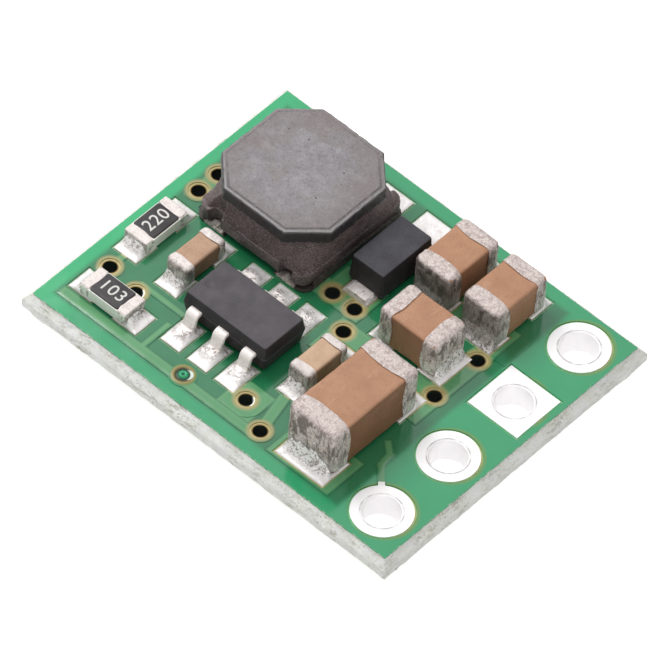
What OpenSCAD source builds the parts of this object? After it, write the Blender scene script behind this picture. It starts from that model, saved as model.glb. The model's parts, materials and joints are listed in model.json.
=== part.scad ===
// Buck converter module: a small circuit board with a drum-core inductor, a
// six-lead switching regulator, a catch diode, two chip resistors and six
// chip capacitors, and a row of four plated pin holes at one end.
// Millimetres. +Z is the component side, +X runs to the pin-hole end, and the
// origin is the centre of the board's footprint, on its underside.

/* [Board] */
// Length of the board, from the plain end to the pin-hole end
board_l = 12.7; // [12.7:0.1:15]
// Width of the board, along the row of pin holes
board_w = 10.16; // [10.16:0.02:12]
// Thickness of the finished board, over the solder mask
board_t = 0.8; // [0.6:0.1:1.6]
// Thickness of the copper foil on each side
copper_t = 0.035; // [0.03:0.005:0.05]
// Thickness of the solder mask over copper
mask_t = 0.025; // [0.02:0.005:0.03]
// How far the scored groove takes the top and bottom faces in from the edge
score_inset = 0.2; // [0.1:0.05:0.3]
// Depth of the scored groove at each face
score_depth = 0.22; // [0.1:0.01:0.25]
// Clear ring that the solder mask leaves round each pad
mask_gap = 0.05; // [0.03:0.01:0.08]

/* [Pin holes] */
// Spacing of the pin holes
pin_pitch = 2.54; // [2.4:0.02:2.6]
// Radius of the finished bore of each pin hole
pin_bore_r = 0.51; // [0.4:0.01:0.55]
// Distance from the pin-hole centres to the end of the board
pin_edge = 1.27; // [1.2:0.01:1.5]
// Width of the plated ring round each bore
pin_ring_w = 0.33; // [0.25:0.01:0.45]
// Side of the square pad on the third pin hole
pin_square = 1.7; // [1.6:0.01:1.9]
// Thickness of the plated barrel wall
plating_t = 0.03; // [0.02:0.005:0.04]
// Radius that rounds the mouth of each plated bore
pin_lip_r = 0.04; // [0.02:0.01:0.05]

/* [Vias] */
// Radius of the finished bore of each via
via_bore_r = 0.2; // [0.12:0.01:0.22]
// Width of the copper land round each via
via_land_w = 0.13; // [0.1:0.01:0.15]

/* [Inductor] */
// Length and width of the inductor's lower flange
ind_w = 3.95; // [3.6:0.05:4]
// Height of the inductor above its pads
ind_h = 1.8; // [1.5:0.05:3]
// Thickness of the lower flange
ind_base_t = 0.5; // [0.4:0.01:0.6]
// Corner radius of the lower flange
ind_base_r = 0.35; // [0.2:0.05:0.5]
// Width of the upper flange across its flats
ind_top_w = 3.88; // [3.5:0.02:3.94]
// Corner cut of the upper flange, along each side
ind_top_cut = 0.88; // [0.6:0.02:1.1]
// Thickness of the upper flange
ind_top_t = 0.4; // [0.3:0.02:0.45]
// Width of the bevel round the upper face
ind_bevel = 0.06; // [0.05:0.01:0.12]
// Radius of the drum's post
ind_post_r = 0.9; // [0.7:0.05:1.1]
// Diameter of the winding's wire
wire_d = 0.11; // [0.08:0.01:0.12]
// Outer radius of the winding
winding_r = 1.5; // [1.4:0.05:1.6]
// How far the resin coat stands back from the edge of the lower flange
resin_back = 0.05; // [0.03:0.01:0.12]
// How far it stands back under the upper flange
resin_under = 0.1; // [0.05:0.01:0.2]
// Corner of the lower flange that the resin coat leaves bare, along each side
resin_cut = 0.55; // [0.4:0.01:0.7]
// Width of each wire notch in the lower flange
notch_w = 0.44; // [0.3:0.02:0.5]
// Depth of each wire notch
notch_d = 0.22; // [0.15:0.01:0.28]
// Distance of the wire notches from the inductor's middle
notch_x = 1.26; // [1.15:0.01:1.3]
// Thickness of the inductor's terminals
terminal_t = 0.08; // [0.06:0.01:0.1]
// Reach of each terminal under the lower flange
terminal_l = 1.1; // [0.9:0.05:1.3]

/* [Regulator] */
// Length of the regulator's moulded body
reg_l = 2.9; // [2.8:0.05:3]
// Width of the moulded body
reg_w = 1.6; // [1.5:0.05:1.7]
// Height of the moulded body
reg_body_h = 0.85; // [0.7:0.05:1.1]
// Gap under the moulded body
reg_gap = 0.06; // [0.04:0.01:0.1]
// Draft of the moulded sides, measured at the top face
reg_draft = 0.07; // [0.04:0.01:0.1]
// Spacing of the regulator's leads
reg_pitch = 0.95; // [0.9:0.01:1]
// Width across the tips of the leads
reg_span = 2.8; // [2.7:0.05:2.9]
// Width of a lead
lead_w = 0.38; // [0.3:0.01:0.45]
// Thickness of a lead
lead_t = 0.13; // [0.1:0.01:0.15]
// Mean bend radius of a lead
lead_bend_r = 0.12; // [0.1:0.01:0.13]
// Angle by which a lead bends down from its shoulder
lead_angle = 73; // [65:1:85]

/* [Diode] */
// Length of the diode's moulded body
diode_l = 2; // [1.8:0.05:2.1]
// Width of the moulded body
diode_w = 1.18; // [1:0.02:1.2]
// Height of the diode above its pads
diode_h = 0.95; // [0.8:0.05:1.2]
// Draft of the moulded sides, measured at the top face
diode_draft = 0.05; // [0.02:0.01:0.08]
// Width of a tab
tab_w = 0.66; // [0.5:0.02:0.8]
// Thickness of a tab
tab_t = 0.15; // [0.1:0.01:0.2]
// How far a tab stands out of the body
tab_out = 0.34; // [0.25:0.01:0.4]

/* [Chip resistors] */
// Length of a chip resistor
res_l = 1.6; // [1.5:0.05:1.65]
// Width of a chip resistor
res_w = 0.8; // [0.7:0.02:0.86]
// Height of a chip resistor
res_h = 0.45; // [0.35:0.01:0.55]
// Length of the metal end, along the resistor
res_band = 0.3; // [0.2:0.01:0.4]

/* [Chip capacitors] */
// Length of a small capacitor
cap_s_l = 1.55; // [1.5:0.05:1.6]
// Width of a small capacitor
cap_s_w = 0.77; // [0.7:0.01:0.85]
// Height of a small capacitor
cap_s_h = 0.72; // [0.6:0.02:0.9]
// Length of a middle-sized capacitor
cap_m_l = 2; // [1.9:0.05:2.1]
// Width of a middle-sized capacitor
cap_m_w = 1.27; // [1.2:0.01:1.35]
// Height of a middle-sized capacitor
cap_m_h = 1.27; // [0.9:0.01:1.35]
// Length of the large capacitor
cap_l_l = 3.25; // [3.1:0.05:3.35]
// Width of the large capacitor
cap_l_w = 1.65; // [1.5:0.05:1.75]
// Height of the large capacitor
cap_l_h = 1.6; // [1.2:0.05:1.75]
// Thickness of the metal ends over the ceramic
end_t = 0.035; // [0.02:0.005:0.05]
// Rounding of the capacitors' edges
cap_edge_r = 0.1; // [0.06:0.01:0.12]

/* [Soldering] */
// Thickness of the solder between a pad and a part
solder_t = 0.03; // [0.02:0.005:0.05]
// How far a chip's pad runs out past its end
pad_toe = 0.38; // [0.3:0.01:0.45]
// How far a chip's pad runs in under it, past its metal end
pad_heel = 0.12; // [0.05:0.01:0.15]

/* [Layout] */
// Clear space between the two output capacitors at the back
cap_gap = 0.4; // [0.3:0.01:0.45]
// Middle of the inductor along the board
ind_x = -3.05; // [-3.15:0.01:-3]
// Middle of the inductor across the board
ind_y = 1.98; // [1.9:0.01:2.1]
// Middle of the regulator along the board
reg_x = -1.52; // [-1.6:0.01:-1.45]
// Middle of the regulator across the board
reg_y = -1.87; // [-1.95:0.01:-1.8]
// Middle of the diode along the board
diode_x = -0.13; // [-0.2:0.01:-0.1]
// Middle of the diode across the board
diode_y = 2.26; // [2.2:0.01:2.4]

/* [Hidden] */
$fn = 48;

eps = 0.01;

// Levels of the board's layers
lam_z0 = copper_t + mask_t;
lam_z1 = board_t - copper_t - mask_t;
pad_z = lam_z1 + copper_t;
seat_z = pad_z + solder_t;
// Extra depth of mask on bare laminate, above the level of the foil
mask_fill = 0.01;
// How far the mask's raised shoulder runs out past a copper edge
mask_shoulder = 0.03;

// Colours
fr4_c = [0.82, 0.81, 0.72];
copper_c = [0.80, 0.50, 0.30];
mask_c = [0.20, 0.62, 0.38];
tin_c = [0.86, 0.85, 0.84];
ferrite_c = [0.50, 0.49, 0.50];
resin_c = [0.30, 0.27, 0.27];
mould_c = [0.27, 0.26, 0.28];
alumina_c = [0.90, 0.89, 0.86];
overcoat_c = [0.14, 0.13, 0.13];
brown_c = [0.72, 0.53, 0.42];
tan_c = [0.80, 0.66, 0.54];

// Pin holes
pin_n = 4;
pin_x = board_l / 2 - pin_edge;
pin_land_r = pin_bore_r + pin_ring_w;
square_pin = 3;
pin_tin_t = 0.015;
function pin_y(i) = (i - (pin_n + 1) / 2) * pin_pitch;

// Vias, at the middle of the board's frame, and the one that mask plugs
VIAS = [
  [-5.34, -2.82], [-4.28, -2.98], [0.15, -3.58], [1.1, -4.08], [-0.67, 0.63],
  [0.1, 0.63], [0.4, -0.13], [3.5, 1.62], [3.5, -0.05], [-5.47, 0.7], [-5.47, 1.48]
];
PLUGGED_VIA = [-1.54, -4.13];
plug_depth = 0.1;
plug_hole_r = 0.05;
via_barrel_r = via_bore_r + plating_t;
via_land_r = via_barrel_r + via_land_w;

// Chips: middle x and y, turn, length, width, height, metal end
res_left = [-5.33, -1.1, 90, res_l, res_w, res_h, res_band];
res_front = [-4.5, -3.64, 0, res_l, res_w, res_h, res_band];
cap_s_band = 0.3;
cap_m_band = 0.45;
cap_l_band = 0.55;
cap_boost = [-3.8, -1.23, 90, cap_s_l, cap_s_w, cap_s_h, cap_s_band];
cap_small_in = [0.82, -1.6, 90, cap_s_l, cap_s_w, cap_s_h, cap_s_band];
cap_large_in = [2.635, -2.3, 90, cap_l_l, cap_l_w, cap_l_h, cap_l_band];
out_2_x = 1.28;
out_2_y = 3.2;
out_3_x = out_2_x + cap_m_w + cap_gap;
out_1_x = 2.14;
out_row_gap = 0.65;
out_1_y = out_2_y - cap_m_l / 2 - out_row_gap - cap_m_w / 2;
cap_out_1 = [out_1_x, out_1_y, 0, cap_m_l, cap_m_w, cap_m_h, cap_m_band];
cap_out_2 = [out_2_x, out_2_y, 90, cap_m_l, cap_m_w, cap_m_h, cap_m_band];
cap_out_3 = [out_3_x, out_2_y, 90, cap_m_l, cap_m_w, cap_m_h, cap_m_band];
out_toe = 0.24;

// Inductor
base_z = terminal_t;
base_top = base_z + ind_base_t;
top_z = ind_h - ind_top_t;
base_l = ind_w - 2 * terminal_t;
wire_z = base_top + wire_d / 2 + 0.01;
tail_y = ind_w / 2 - notch_d + wire_d / 2 + 0.03;
terminal_w = ind_w - 2 * ind_base_r;
lug_w = 2 * wire_d;
lug_clear = 0.005 + notch_w / 2 - sqrt(pow(notch_w / 2, 2) - pow(lug_w / 2, 2));
terminal_up = 0.3;
lug_h = 0.16;
ind_pad_w = 3.3;

// Regulator
reg_top = reg_gap + reg_body_h;
lead_z = reg_gap + reg_body_h * 0.55;
lead_in = 0.15;
shoulder = 0.06;
foot_z = lead_t / 2;
reg_pad_w = 0.67;
reg_pad_l = 1;
reg_pad_in = reg_span / 2 - 0.62;

// Diode
tab_in = 0.35;
diode_gap = 0.03;
diode_pad_w = 0.85;
diode_pad_out = 0.36;

// ---------------------------------------------------------------- helpers

// Points of an arc about a centre, from one angle to another
function arc_points(c, r, a0, a1, n) =
  [for (i = [0:n]) c + r * [cos(a0 + (a1 - a0) * i / n), sin(a0 + (a1 - a0) * i / n)]];

// Outline of a rectangle with round corners
function round_points(l, w, r, n = 3) =
  [for (k = [0:3]) for (p = arc_points(
    [(k == 0 || k == 3 ? 1 : -1) * (l / 2 - r), (k < 2 ? 1 : -1) * (w / 2 - r)],
    r, 90 * k, 90 * k + 90, n)) p];

// A block with every edge rounded, standing on its middle
module round_block(l, w, h, r) {
  intersection() {
    translate([0, 0, -h]) linear_extrude(3 * h) polygon(round_points(l, w, r));
    translate([0, 0, h / 2]) rotate([90, 0, 0])
      linear_extrude(2 * w, center = true) polygon(round_points(l, h, r));
    translate([0, 0, h / 2]) rotate([90, 0, 90])
      linear_extrude(2 * l, center = true) polygon(round_points(w, h, r));
  }
}

// Cross-section of a moulding that is widest at its parting line
function draft_points(w, h, draft, part_z) = [
  [-w / 2 + draft, 0], [w / 2 - draft, 0], [w / 2, part_z],
  [w / 2 - draft, h], [-w / 2 + draft, h], [-w / 2, part_z]
];

// A moulded block, tapered up and down from its parting line
module drafted_block(l, w, h, draft, part_z) {
  intersection() {
    rotate([90, 0, 0]) linear_extrude(2 * w, center = true)
      polygon(draft_points(l, h, draft, part_z));
    rotate([90, 0, 90]) linear_extrude(2 * l, center = true)
      polygon(draft_points(w, h, draft, part_z));
  }
}

// A rectangle given by two corners, grown all round by g
module area(x0, y0, x1, y1, g = 0) {
  translate([x0 - g, y0 - g]) square([x1 - x0 + 2 * g, y1 - y0 + 2 * g]);
}

// A straight track between two points, with round ends, grown by g
module track(a, b, w, g = 0) {
  d = b - a;
  translate(a) rotate(atan2(d[1], d[0])) translate([0, -w / 2 - g]) square([norm(d), w + 2 * g]);
  translate(a) circle(w / 2 + g);
  translate(b) circle(w / 2 + g);
}

module place(chip) {
  translate([chip[0], chip[1], seat_z]) rotate(chip[2]) children();
}

// Concave side of a solder fillet that runs out by toe and up by rise
function fillet_points(toe, rise) = concat([[0, 0]],
  [for (a = [0:15:90]) [toe * (1 - sin(a)), rise * (1 - cos(a))]]);

module fillet(toe, rise, w) {
  rotate([90, 0, 0]) linear_extrude(w, center = true) polygon(fillet_points(toe, rise));
}

// ------------------------------------------------------------ board outlines

module chip_pads_2d(chip, toe, g = 0) {
  inner = chip[3] / 2 - chip[6] - pad_heel;
  outer = chip[3] / 2 + toe;
  translate([chip[0], chip[1]]) rotate(chip[2])
    for (s = [0, 180]) rotate(s) area(inner, -chip[4] / 2, outer, chip[4] / 2, g);
}

module regulator_pads_2d(g = 0) {
  for (s = [-1, 1]) for (k = [-1:1])
    translate([reg_x + k * reg_pitch, reg_y])
      rotate(90 * s) area(reg_pad_in, -reg_pad_w / 2, reg_pad_in + reg_pad_l, reg_pad_w / 2, g);
}

module diode_pads_2d(g = 0) {
  area(diode_x - 0.02 - diode_pad_w / 2, diode_y - diode_l / 2 - diode_pad_out,
       diode_x - 0.02 + diode_pad_w / 2, diode_y - diode_l / 2 + tab_in, g);
  area(diode_x - 0.02 - diode_pad_w / 2 - 0.2, diode_y + diode_l / 2 - tab_in,
       diode_x - 0.02 + diode_pad_w / 2 + 0.2, diode_y + diode_l / 2 + 1.16, g);
}

module inductor_pads_2d(g = 0) {
  area(ind_x - ind_w / 2 - 0.02, ind_y - ind_pad_w / 2,
       ind_x - ind_w / 2 + terminal_l, ind_y + ind_pad_w / 2, g);
  area(ind_x + ind_w / 2 - terminal_l, ind_y - ind_pad_w / 2,
       ind_x + ind_w / 2 - 0.13, ind_y + ind_w / 2 + 0.44, g);
}

// Every soldered pad of the component side
module pads_2d(g = 0) {
  for (c = [res_left, res_front, cap_boost, cap_small_in, cap_large_in]) chip_pads_2d(c, pad_toe, g);
  for (c = [cap_out_1, cap_out_2, cap_out_3]) chip_pads_2d(c, out_toe, g);
  regulator_pads_2d(g);
  diode_pads_2d(g);
  inductor_pads_2d(g);
}

module via_discs_2d(r) {
  for (v = VIAS) translate(v) circle(r);
}

// Tracks and filled areas of the component side
module tracks_2d(g = 0) {
  // supply strip along the front, with its plugged via
  area(-5.72, -4.42, 1.1, -4.12, g);
  area(1.62, -4.42, 3.74, -3, g);
  // fill round the via beside the regulator and the tongue from the small input capacitor
  translate([0.15, -3.58]) circle(0.55 + g);
  track([0.82, -2.9], [1.1, -4.08], 0.32, g);
  // ground fill between the input capacitors and the output capacitor
  area(0.06, -1.1, 3.78, 0.22, g);
  area(3.12, 0, 3.78, 2, g);
  // switch node from the regulator's rear lead to the diode and inductor
  area(-1, 0.3, 0.44, 1.6, g);
  area(-2.1, 0.3, -0.9, 0.95, g);
  // feed from the inductor to its two vias
  area(-5.68, 0.48, -4.9, 1.7, g);
  // output fill under the two rear capacitors
  area(0.66, 1.98, 4.1, 3.04, g);
  // feedback and enable tracks
  track([-4.35, -2.66], [-2.5, -2.66], 0.16, g);
  track([-5.34, -2.82], [-5.34, -2.2], 0.2, g);
  track([-4.28, -2.98], [-4.28, -2.66], 0.16, g);
  track([-2.95, -3.2], [-2.95, -4.2], 0.16, g);
  track([pin_x, pin_y(1)], [4.05, -2.7], 0.18, g);
  track([4.05, -2.7], [3.98, -2.3], 0.18, g);
  track([3.98, -2.3], [3.7, -2.05], 0.18, g);
}

module top_copper_2d(g = 0) {
  difference() {
    union() {
      pads_2d(g);
      tracks_2d(g);
      via_discs_2d(via_land_r + g);
      translate(PLUGGED_VIA) circle(via_land_r + g);
    }
    for (i = [1:pin_n]) pin_land_2d(i);
    via_discs_2d(via_barrel_r - g);
  }
}

module top_foil_2d() {
  difference() {
    top_copper_2d();
    translate(PLUGGED_VIA) circle(via_barrel_r);
  }
}

// Outline of both faces inside the scored edges
module face_2d() {
  area(-board_l / 2, -board_w / 2, board_l / 2, board_w / 2, -score_inset);
}

module pin_land_2d(i, g = 0) {
  translate([pin_x, pin_y(i)])
    if (i == square_pin) square(pin_square + 2 * g, center = true);
    else circle(pin_land_r + g);
}

// Ground plane of the underside, held back from the edges and the pin lands
plane_edge = 0.25;
plane_gap = 0.2;
module bottom_copper_2d() {
  difference() {
    area(-board_l / 2, -board_w / 2, board_l / 2, board_w / 2, -score_inset - plane_edge);
    for (i = [1:pin_n]) pin_land_2d(i, plane_gap);
    via_discs_2d(via_barrel_r);
    translate(PLUGGED_VIA) circle(via_barrel_r);
  }
}

// ------------------------------------------------------------------- board

module score_profile(l) {
  polygon([
    [-l / 2, lam_z0 + score_depth], [-l / 2 + score_inset, lam_z0],
    [l / 2 - score_inset, lam_z0], [l / 2, lam_z0 + score_depth],
    [l / 2, lam_z1 - score_depth], [l / 2 - score_inset, lam_z1],
    [-l / 2 + score_inset, lam_z1], [-l / 2, lam_z1 - score_depth]
  ]);
}

module printed_board_laminate() {
  color(fr4_c) difference() {
    intersection() {
      rotate([90, 0, 0]) linear_extrude(2 * board_w, center = true) score_profile(board_l);
      rotate([90, 0, 90]) linear_extrude(2 * board_l, center = true) score_profile(board_w);
    }
    for (i = [1:pin_n]) translate([pin_x, pin_y(i), -eps])
      cylinder(r = pin_bore_r + plating_t, h = board_t + 2 * eps);
    for (v = concat(VIAS, [PLUGGED_VIA])) translate([v[0], v[1], -eps])
      cylinder(r = via_barrel_r, h = board_t + 2 * eps);
  }
}

module top_copper() {
  color(copper_c) translate([0, 0, lam_z1]) linear_extrude(copper_t) top_foil_2d();
}

module bottom_copper() {
  color(copper_c) translate([0, 0, mask_t]) linear_extrude(copper_t) bottom_copper_2d();
}

// Openings of the component-side mask: pads, via mouths, pin lands and the start of one track
module top_openings_2d() {
  pads_2d(mask_gap);
  via_discs_2d(via_barrel_r + mask_gap);
  for (i = [1:pin_n]) pin_land_2d(i, mask_gap);
  translate([pin_x, pin_y(1)]) rotate(133) area(0, -0.1, pin_land_r + 0.14, 0.1);
}

module top_solder_mask() {
  color(mask_c) {
    translate([0, 0, lam_z1]) linear_extrude(copper_t) difference() {
      face_2d();
      top_copper_2d();
      top_openings_2d();
    }
    translate([0, 0, pad_z]) linear_extrude(mask_fill) difference() {
      face_2d();
      top_openings_2d();
      translate(PLUGGED_VIA) circle(plug_hole_r);
    }
    translate([0, 0, pad_z + mask_fill]) linear_extrude(mask_t - mask_fill) difference() {
      top_copper_2d(mask_shoulder);
      top_openings_2d();
      translate(PLUGGED_VIA) circle(plug_hole_r);
    }
    translate([PLUGGED_VIA[0], PLUGGED_VIA[1], pad_z - plug_depth]) linear_extrude(plug_depth)
      difference() {
        circle(via_bore_r);
        circle(plug_hole_r);
      }
  }
}

module bottom_solder_mask() {
  color(mask_c) {
    linear_extrude(mask_t) difference() {
      face_2d();
      bottom_openings_2d();
    }
    translate([0, 0, mask_t]) linear_extrude(copper_t) difference() {
      face_2d();
      bottom_copper_2d();
      bottom_openings_2d();
    }
  }
}

module bottom_openings_2d() {
  for (i = [1:pin_n]) pin_land_2d(i, mask_gap);
  via_discs_2d(via_barrel_r + mask_gap);
  translate(PLUGGED_VIA) circle(via_barrel_r + mask_gap);
}

module via_barrels() {
  color(copper_c) for (v = concat(VIAS, [PLUGGED_VIA])) translate([v[0], v[1], mask_t])
    difference() {
      cylinder(r = via_barrel_r, h = pad_z - mask_t);
      translate([0, 0, -eps]) cylinder(r = via_bore_r, h = board_t);
    }
}

// Shape that clears a pin hole, flared at both mouths
module pin_bore(z0, z1) {
  flare = pin_bore_r + pin_lip_r;
  rotate_extrude() polygon(concat(
    [[0, z0 - eps], [flare, z0 - eps]],
    arc_points([flare, z0 + pin_lip_r], pin_lip_r, 270, 180, 4),
    arc_points([flare, z1 - pin_lip_r], pin_lip_r, 180, 90, 4),
    [[flare, z1 + eps], [0, z1 + eps]]));
}

// Barrel of a pin hole with its two lands and rounded mouths
module pin_hole_plating(i) {
  z0 = mask_t - pin_tin_t;
  z1 = pad_z + pin_tin_t;
  color(tin_c) difference() {
    union() {
      translate([0, 0, z0]) linear_extrude(lam_z0 - z0) pin_land_2d(i);
      translate([0, 0, lam_z1]) linear_extrude(z1 - lam_z1) pin_land_2d(i);
      translate([pin_x, pin_y(i), z0]) cylinder(r = pin_bore_r + plating_t, h = z1 - z0);
    }
    translate([pin_x, pin_y(i), 0]) pin_bore(z0, z1);
  }
}

// ---------------------------------------------------------------- inductor

module at_inductor() {
  translate([ind_x, ind_y, seat_z]) children();
}

// Square with its corners cut and its upper edge bevelled
module cut_square_block(w, cut, h, bevel) {
  across = [w, w * sqrt(2) - cut * sqrt(2)];
  intersection_for (k = [0:3]) {
    a = across[k % 2] / 2;
    rotate(45 * k) rotate([90, 0, 0]) linear_extrude(3 * w, center = true)
      polygon([[-a, 0], [a, 0], [a, h - bevel], [a - bevel, h], [-a + bevel, h], [-a, h - bevel]]);
  }
}

// U-shaped notches that let the wire ends down past the lower flange
module wire_notches() {
  for (sx = [-1, 1]) for (sy = [-1, 1])
    translate([sx * notch_x, sy * (ind_w / 2 - notch_d + notch_w / 2), 0]) {
      circle(d = notch_w);
      translate([-notch_w / 2, sy > 0 ? 0 : -notch_w]) square(notch_w);
    }
}

// Drum core: lower flange, post and upper flange in one piece of ferrite
module inductor_core() {
  color(ferrite_c) at_inductor() {
    translate([0, 0, base_z]) linear_extrude(ind_base_t) difference() {
      polygon(round_points(base_l, ind_w, ind_base_r, 6));
      wire_notches();
    }
    cylinder_z = base_top - eps;
    translate([0, 0, cylinder_z]) cylinder(r = ind_post_r, h = top_z - cylinder_z + eps);
    translate([0, 0, top_z]) cut_square_block(ind_top_w, ind_top_cut, ind_top_t, ind_bevel);
  }
}

// Path of a wire end: out along the lower flange, then down a notch at the rear
module wire_tail(sx) {
  r = wire_d / 2;
  y0 = sqrt(pow(winding_r, 2) - pow(notch_x, 2)) - 2 * wire_d;
  translate([sx * notch_x, y0, wire_z]) rotate([-90, 0, 0]) cylinder(r = r, h = tail_y - y0);
  translate([sx * notch_x, tail_y, wire_z]) sphere(r);
  translate([sx * notch_x, tail_y, lug_h]) cylinder(r = r, h = wire_z - lug_h);
}

// Turns of wire round the post, with both ends led out
module inductor_winding() {
  turns = floor((top_z - base_top) / wire_d);
  rise = (top_z - base_top) / turns;
  color(copper_c) at_inductor() {
    rotate_extrude() polygon(concat(
      [[ind_post_r, top_z], [ind_post_r, base_top]],
      [for (k = [0:turns - 1]) for (p = arc_points(
        [winding_r - rise / 2, base_top + (k + 0.5) * rise], rise / 2, -80, 80, 4)) p]));
    for (sx = [-1, 1]) wire_tail(sx);
  }
}

// Resin that fills the drum outside the winding; its corners slope out to the lower flange
module inductor_resin_coat() {
  h = top_z - base_top;
  // half-widths at its foot and at its top, across the flats and across the corners
  low = [ind_w / 2 - resin_back, (ind_w - resin_cut) / sqrt(2)];
  high = [ind_top_w / 2 - resin_under, (ind_top_w - ind_top_cut) / sqrt(2) - resin_under];
  color(resin_c) at_inductor() difference() {
    translate([0, 0, base_top]) intersection() {
      linear_extrude(h) difference() {
        polygon(round_points(base_l, ind_w, ind_base_r, 6));
        circle(winding_r);
        wire_notches();
      }
      intersection_for (k = [0:3]) rotate(45 * k) rotate([90, 0, 0])
        linear_extrude(3 * ind_w, center = true)
          polygon([[-low[k % 2], 0], [low[k % 2], 0], [high[k % 2], h], [-high[k % 2], h]]);
    }
    for (sx = [-1, 1]) wire_tail(sx);
  }
}

// Terminal: plate under the lower flange, upturned at its end, with a lug in each notch
module inductor_terminal(side) {
  color(tin_c) at_inductor() mirror([side < 0 ? 1 : 0, 0, 0]) {
    linear_extrude(terminal_t) intersection() {
      polygon(round_points(ind_w, ind_w, ind_base_r, 6));
      translate([ind_w / 2 - terminal_l, -ind_w / 2]) square([terminal_l, ind_w]);
    }
    translate([ind_w / 2 - terminal_t, -terminal_w / 2, 0])
      cube([terminal_t, terminal_w, terminal_up]);
    for (sy = [-1, 1]) mirror([0, sy < 0 ? 1 : 0, 0])
      translate([notch_x - lug_w / 2, ind_w / 2 - notch_d + lug_clear, 0])
        cube([lug_w, notch_d - 2 * lug_clear, lug_h]);
  }
}

// --------------------------------------------------------------- regulator

// Gull-wing lead seen from the side: out of the body, down and out to its foot
function lead_points() =
  let (
    h = lead_t / 2,
    r = lead_bend_r,
    drop = lead_z - foot_z - 2 * r * (1 - cos(lead_angle)),
    leg = drop / sin(lead_angle),
    y1 = reg_w / 2 + shoulder,
    y2 = y1 + 2 * r * sin(lead_angle) + leg * cos(lead_angle),
    c1 = [y1, lead_z - r],
    c2 = [y2, foot_z + r]
  ) concat(
    [[reg_w / 2 - lead_in, lead_z + h]],
    arc_points(c1, r + h, 90, 90 - lead_angle, 5),
    arc_points(c2, r - h, 270 - lead_angle, 270, 5),
    [[reg_span / 2, foot_z + h], [reg_span / 2, foot_z - h]],
    arc_points(c2, r + h, 270, 270 - lead_angle, 5),
    arc_points(c1, r - h, 90 - lead_angle, 90, 5),
    [[reg_w / 2 - lead_in, lead_z - h]]
  );

// Leads 1 to 3 run along the front from the left, and 4 to 6 along the rear from the right
module at_lead(i) {
  front = i <= 3;
  k = front ? i - 2 : 5 - i;
  translate([reg_x + k * reg_pitch, reg_y, seat_z]) rotate(front ? -90 : 90) children();
}

module regulator_lead(i) {
  color(tin_c) at_lead(i) rotate([90, 0, 0])
    linear_extrude(lead_w, center = true) polygon(lead_points());
}

// Moulded body, parted at the leads, with a dot that marks lead 1
dot_r = 0.09;
dot_depth = 0.02;
dot_in = 0.32;
module regulator_body() {
  color(mould_c) difference() {
    translate([reg_x, reg_y, seat_z + reg_gap])
      drafted_block(reg_l, reg_w, reg_body_h, reg_draft, lead_z - reg_gap);
    for (i = [1:6]) at_lead(i)
      translate([reg_w / 2 - lead_in, -lead_w / 2, lead_z - lead_t / 2])
        cube([lead_in + shoulder, lead_w, lead_t]);
    translate([reg_x - reg_l / 2 + dot_in, reg_y - dot_in / 2, seat_z + reg_top - dot_depth])
      cylinder(r = dot_r, h = 2 * dot_depth);
  }
}

// ------------------------------------------------------------------- diode

module at_tab(side) {
  translate([diode_x, diode_y, seat_z]) rotate(90 * side) children();
}

module tab_block(out) {
  translate([diode_l / 2 - tab_in, -tab_w / 2, 0]) cube([tab_in + out, tab_w, tab_t]);
}

// Flat tab that runs in under the body
module diode_tab(side) {
  color(tin_c) at_tab(side) tab_block(tab_out);
}

module diode_body() {
  color(mould_c) difference() {
    translate([diode_x, diode_y, seat_z + diode_gap]) rotate(90)
      drafted_block(diode_l, diode_w, diode_h - diode_gap, diode_draft, tab_t + diode_gap);
    for (side = [-1, 1]) at_tab(side) translate([0, 0, -eps]) tab_block(tab_out + eps);
    for (side = [-1, 1]) at_tab(side) tab_block(tab_out + eps);
  }
}

// ----------------------------------------------------------- chip resistors

// Fired film and its dark overcoat lie on the substrate between the metal ends
film_t = 0.02;
overcoat_t = 0.02;

module resistor_substrate(chip) {
  color(alumina_c) place(chip) translate([0, 0, (chip[5] - end_t) / 2])
    cube([chip[3] - 2 * end_t, chip[4], chip[5] - 3 * end_t], center = true);
}

module resistor_layer(chip, z, t, back, c) {
  color(c) place(chip) translate([0, 0, chip[5] - 2 * end_t + z + t / 2])
    cube([chip[3] - 2 * chip[6] - 0.02, chip[4] - 2 * back, t], center = true);
}

module resistor_film(chip) {
  resistor_layer(chip, 0, film_t, 0.1, [0.35, 0.34, 0.36]);
}

// Overcoat, wrapped over the edges of the film
module resistor_overcoat(chip) {
  difference() {
    resistor_layer(chip, 0, film_t + overcoat_t, 0.03, overcoat_c);
    resistor_film(chip);
  }
}

// Metal end that wraps over the top, the end and the underside
module resistor_end(chip, side) {
  color(tin_c) place(chip) mirror([side < 0 ? 1 : 0, 0, 0]) difference() {
    translate([chip[3] / 2 - chip[6], -chip[4] / 2, 0]) cube([chip[6], chip[4], chip[5] - end_t]);
    translate([0, -chip[4], end_t])
      cube([chip[3] / 2 - end_t, 2 * chip[4], chip[5] - 3 * end_t]);
  }
}

// ---------------------------------------------------------- chip capacitors

// Ceramic block, a little smaller all round than its metal ends
module ceramic(chip) {
  translate([0, 0, end_t])
    round_block(chip[3] - 2 * end_t, chip[4] - 2 * end_t, chip[5] - 2 * end_t, cap_edge_r - end_t / 2);
}

module capacitor_body(chip, c) {
  color(c) place(chip) ceramic(chip);
}

// Radius on which the edge of a metal end bows towards the middle of the chip
band_bow_r = 5;
module capacitor_end(chip, side) {
  color(tin_c) place(chip) mirror([side < 0 ? 1 : 0, 0, 0]) difference() {
    intersection() {
      round_block(chip[3], chip[4], chip[5], cap_edge_r);
      translate([chip[3] / 2 - chip[6] + band_bow_r, 0, -eps])
        cylinder(r = band_bow_r, h = chip[5] + 2 * eps, $fn = 180);
    }
    ceramic(chip);
  }
}

// ----------------------------------------------------------------- soldering

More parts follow.
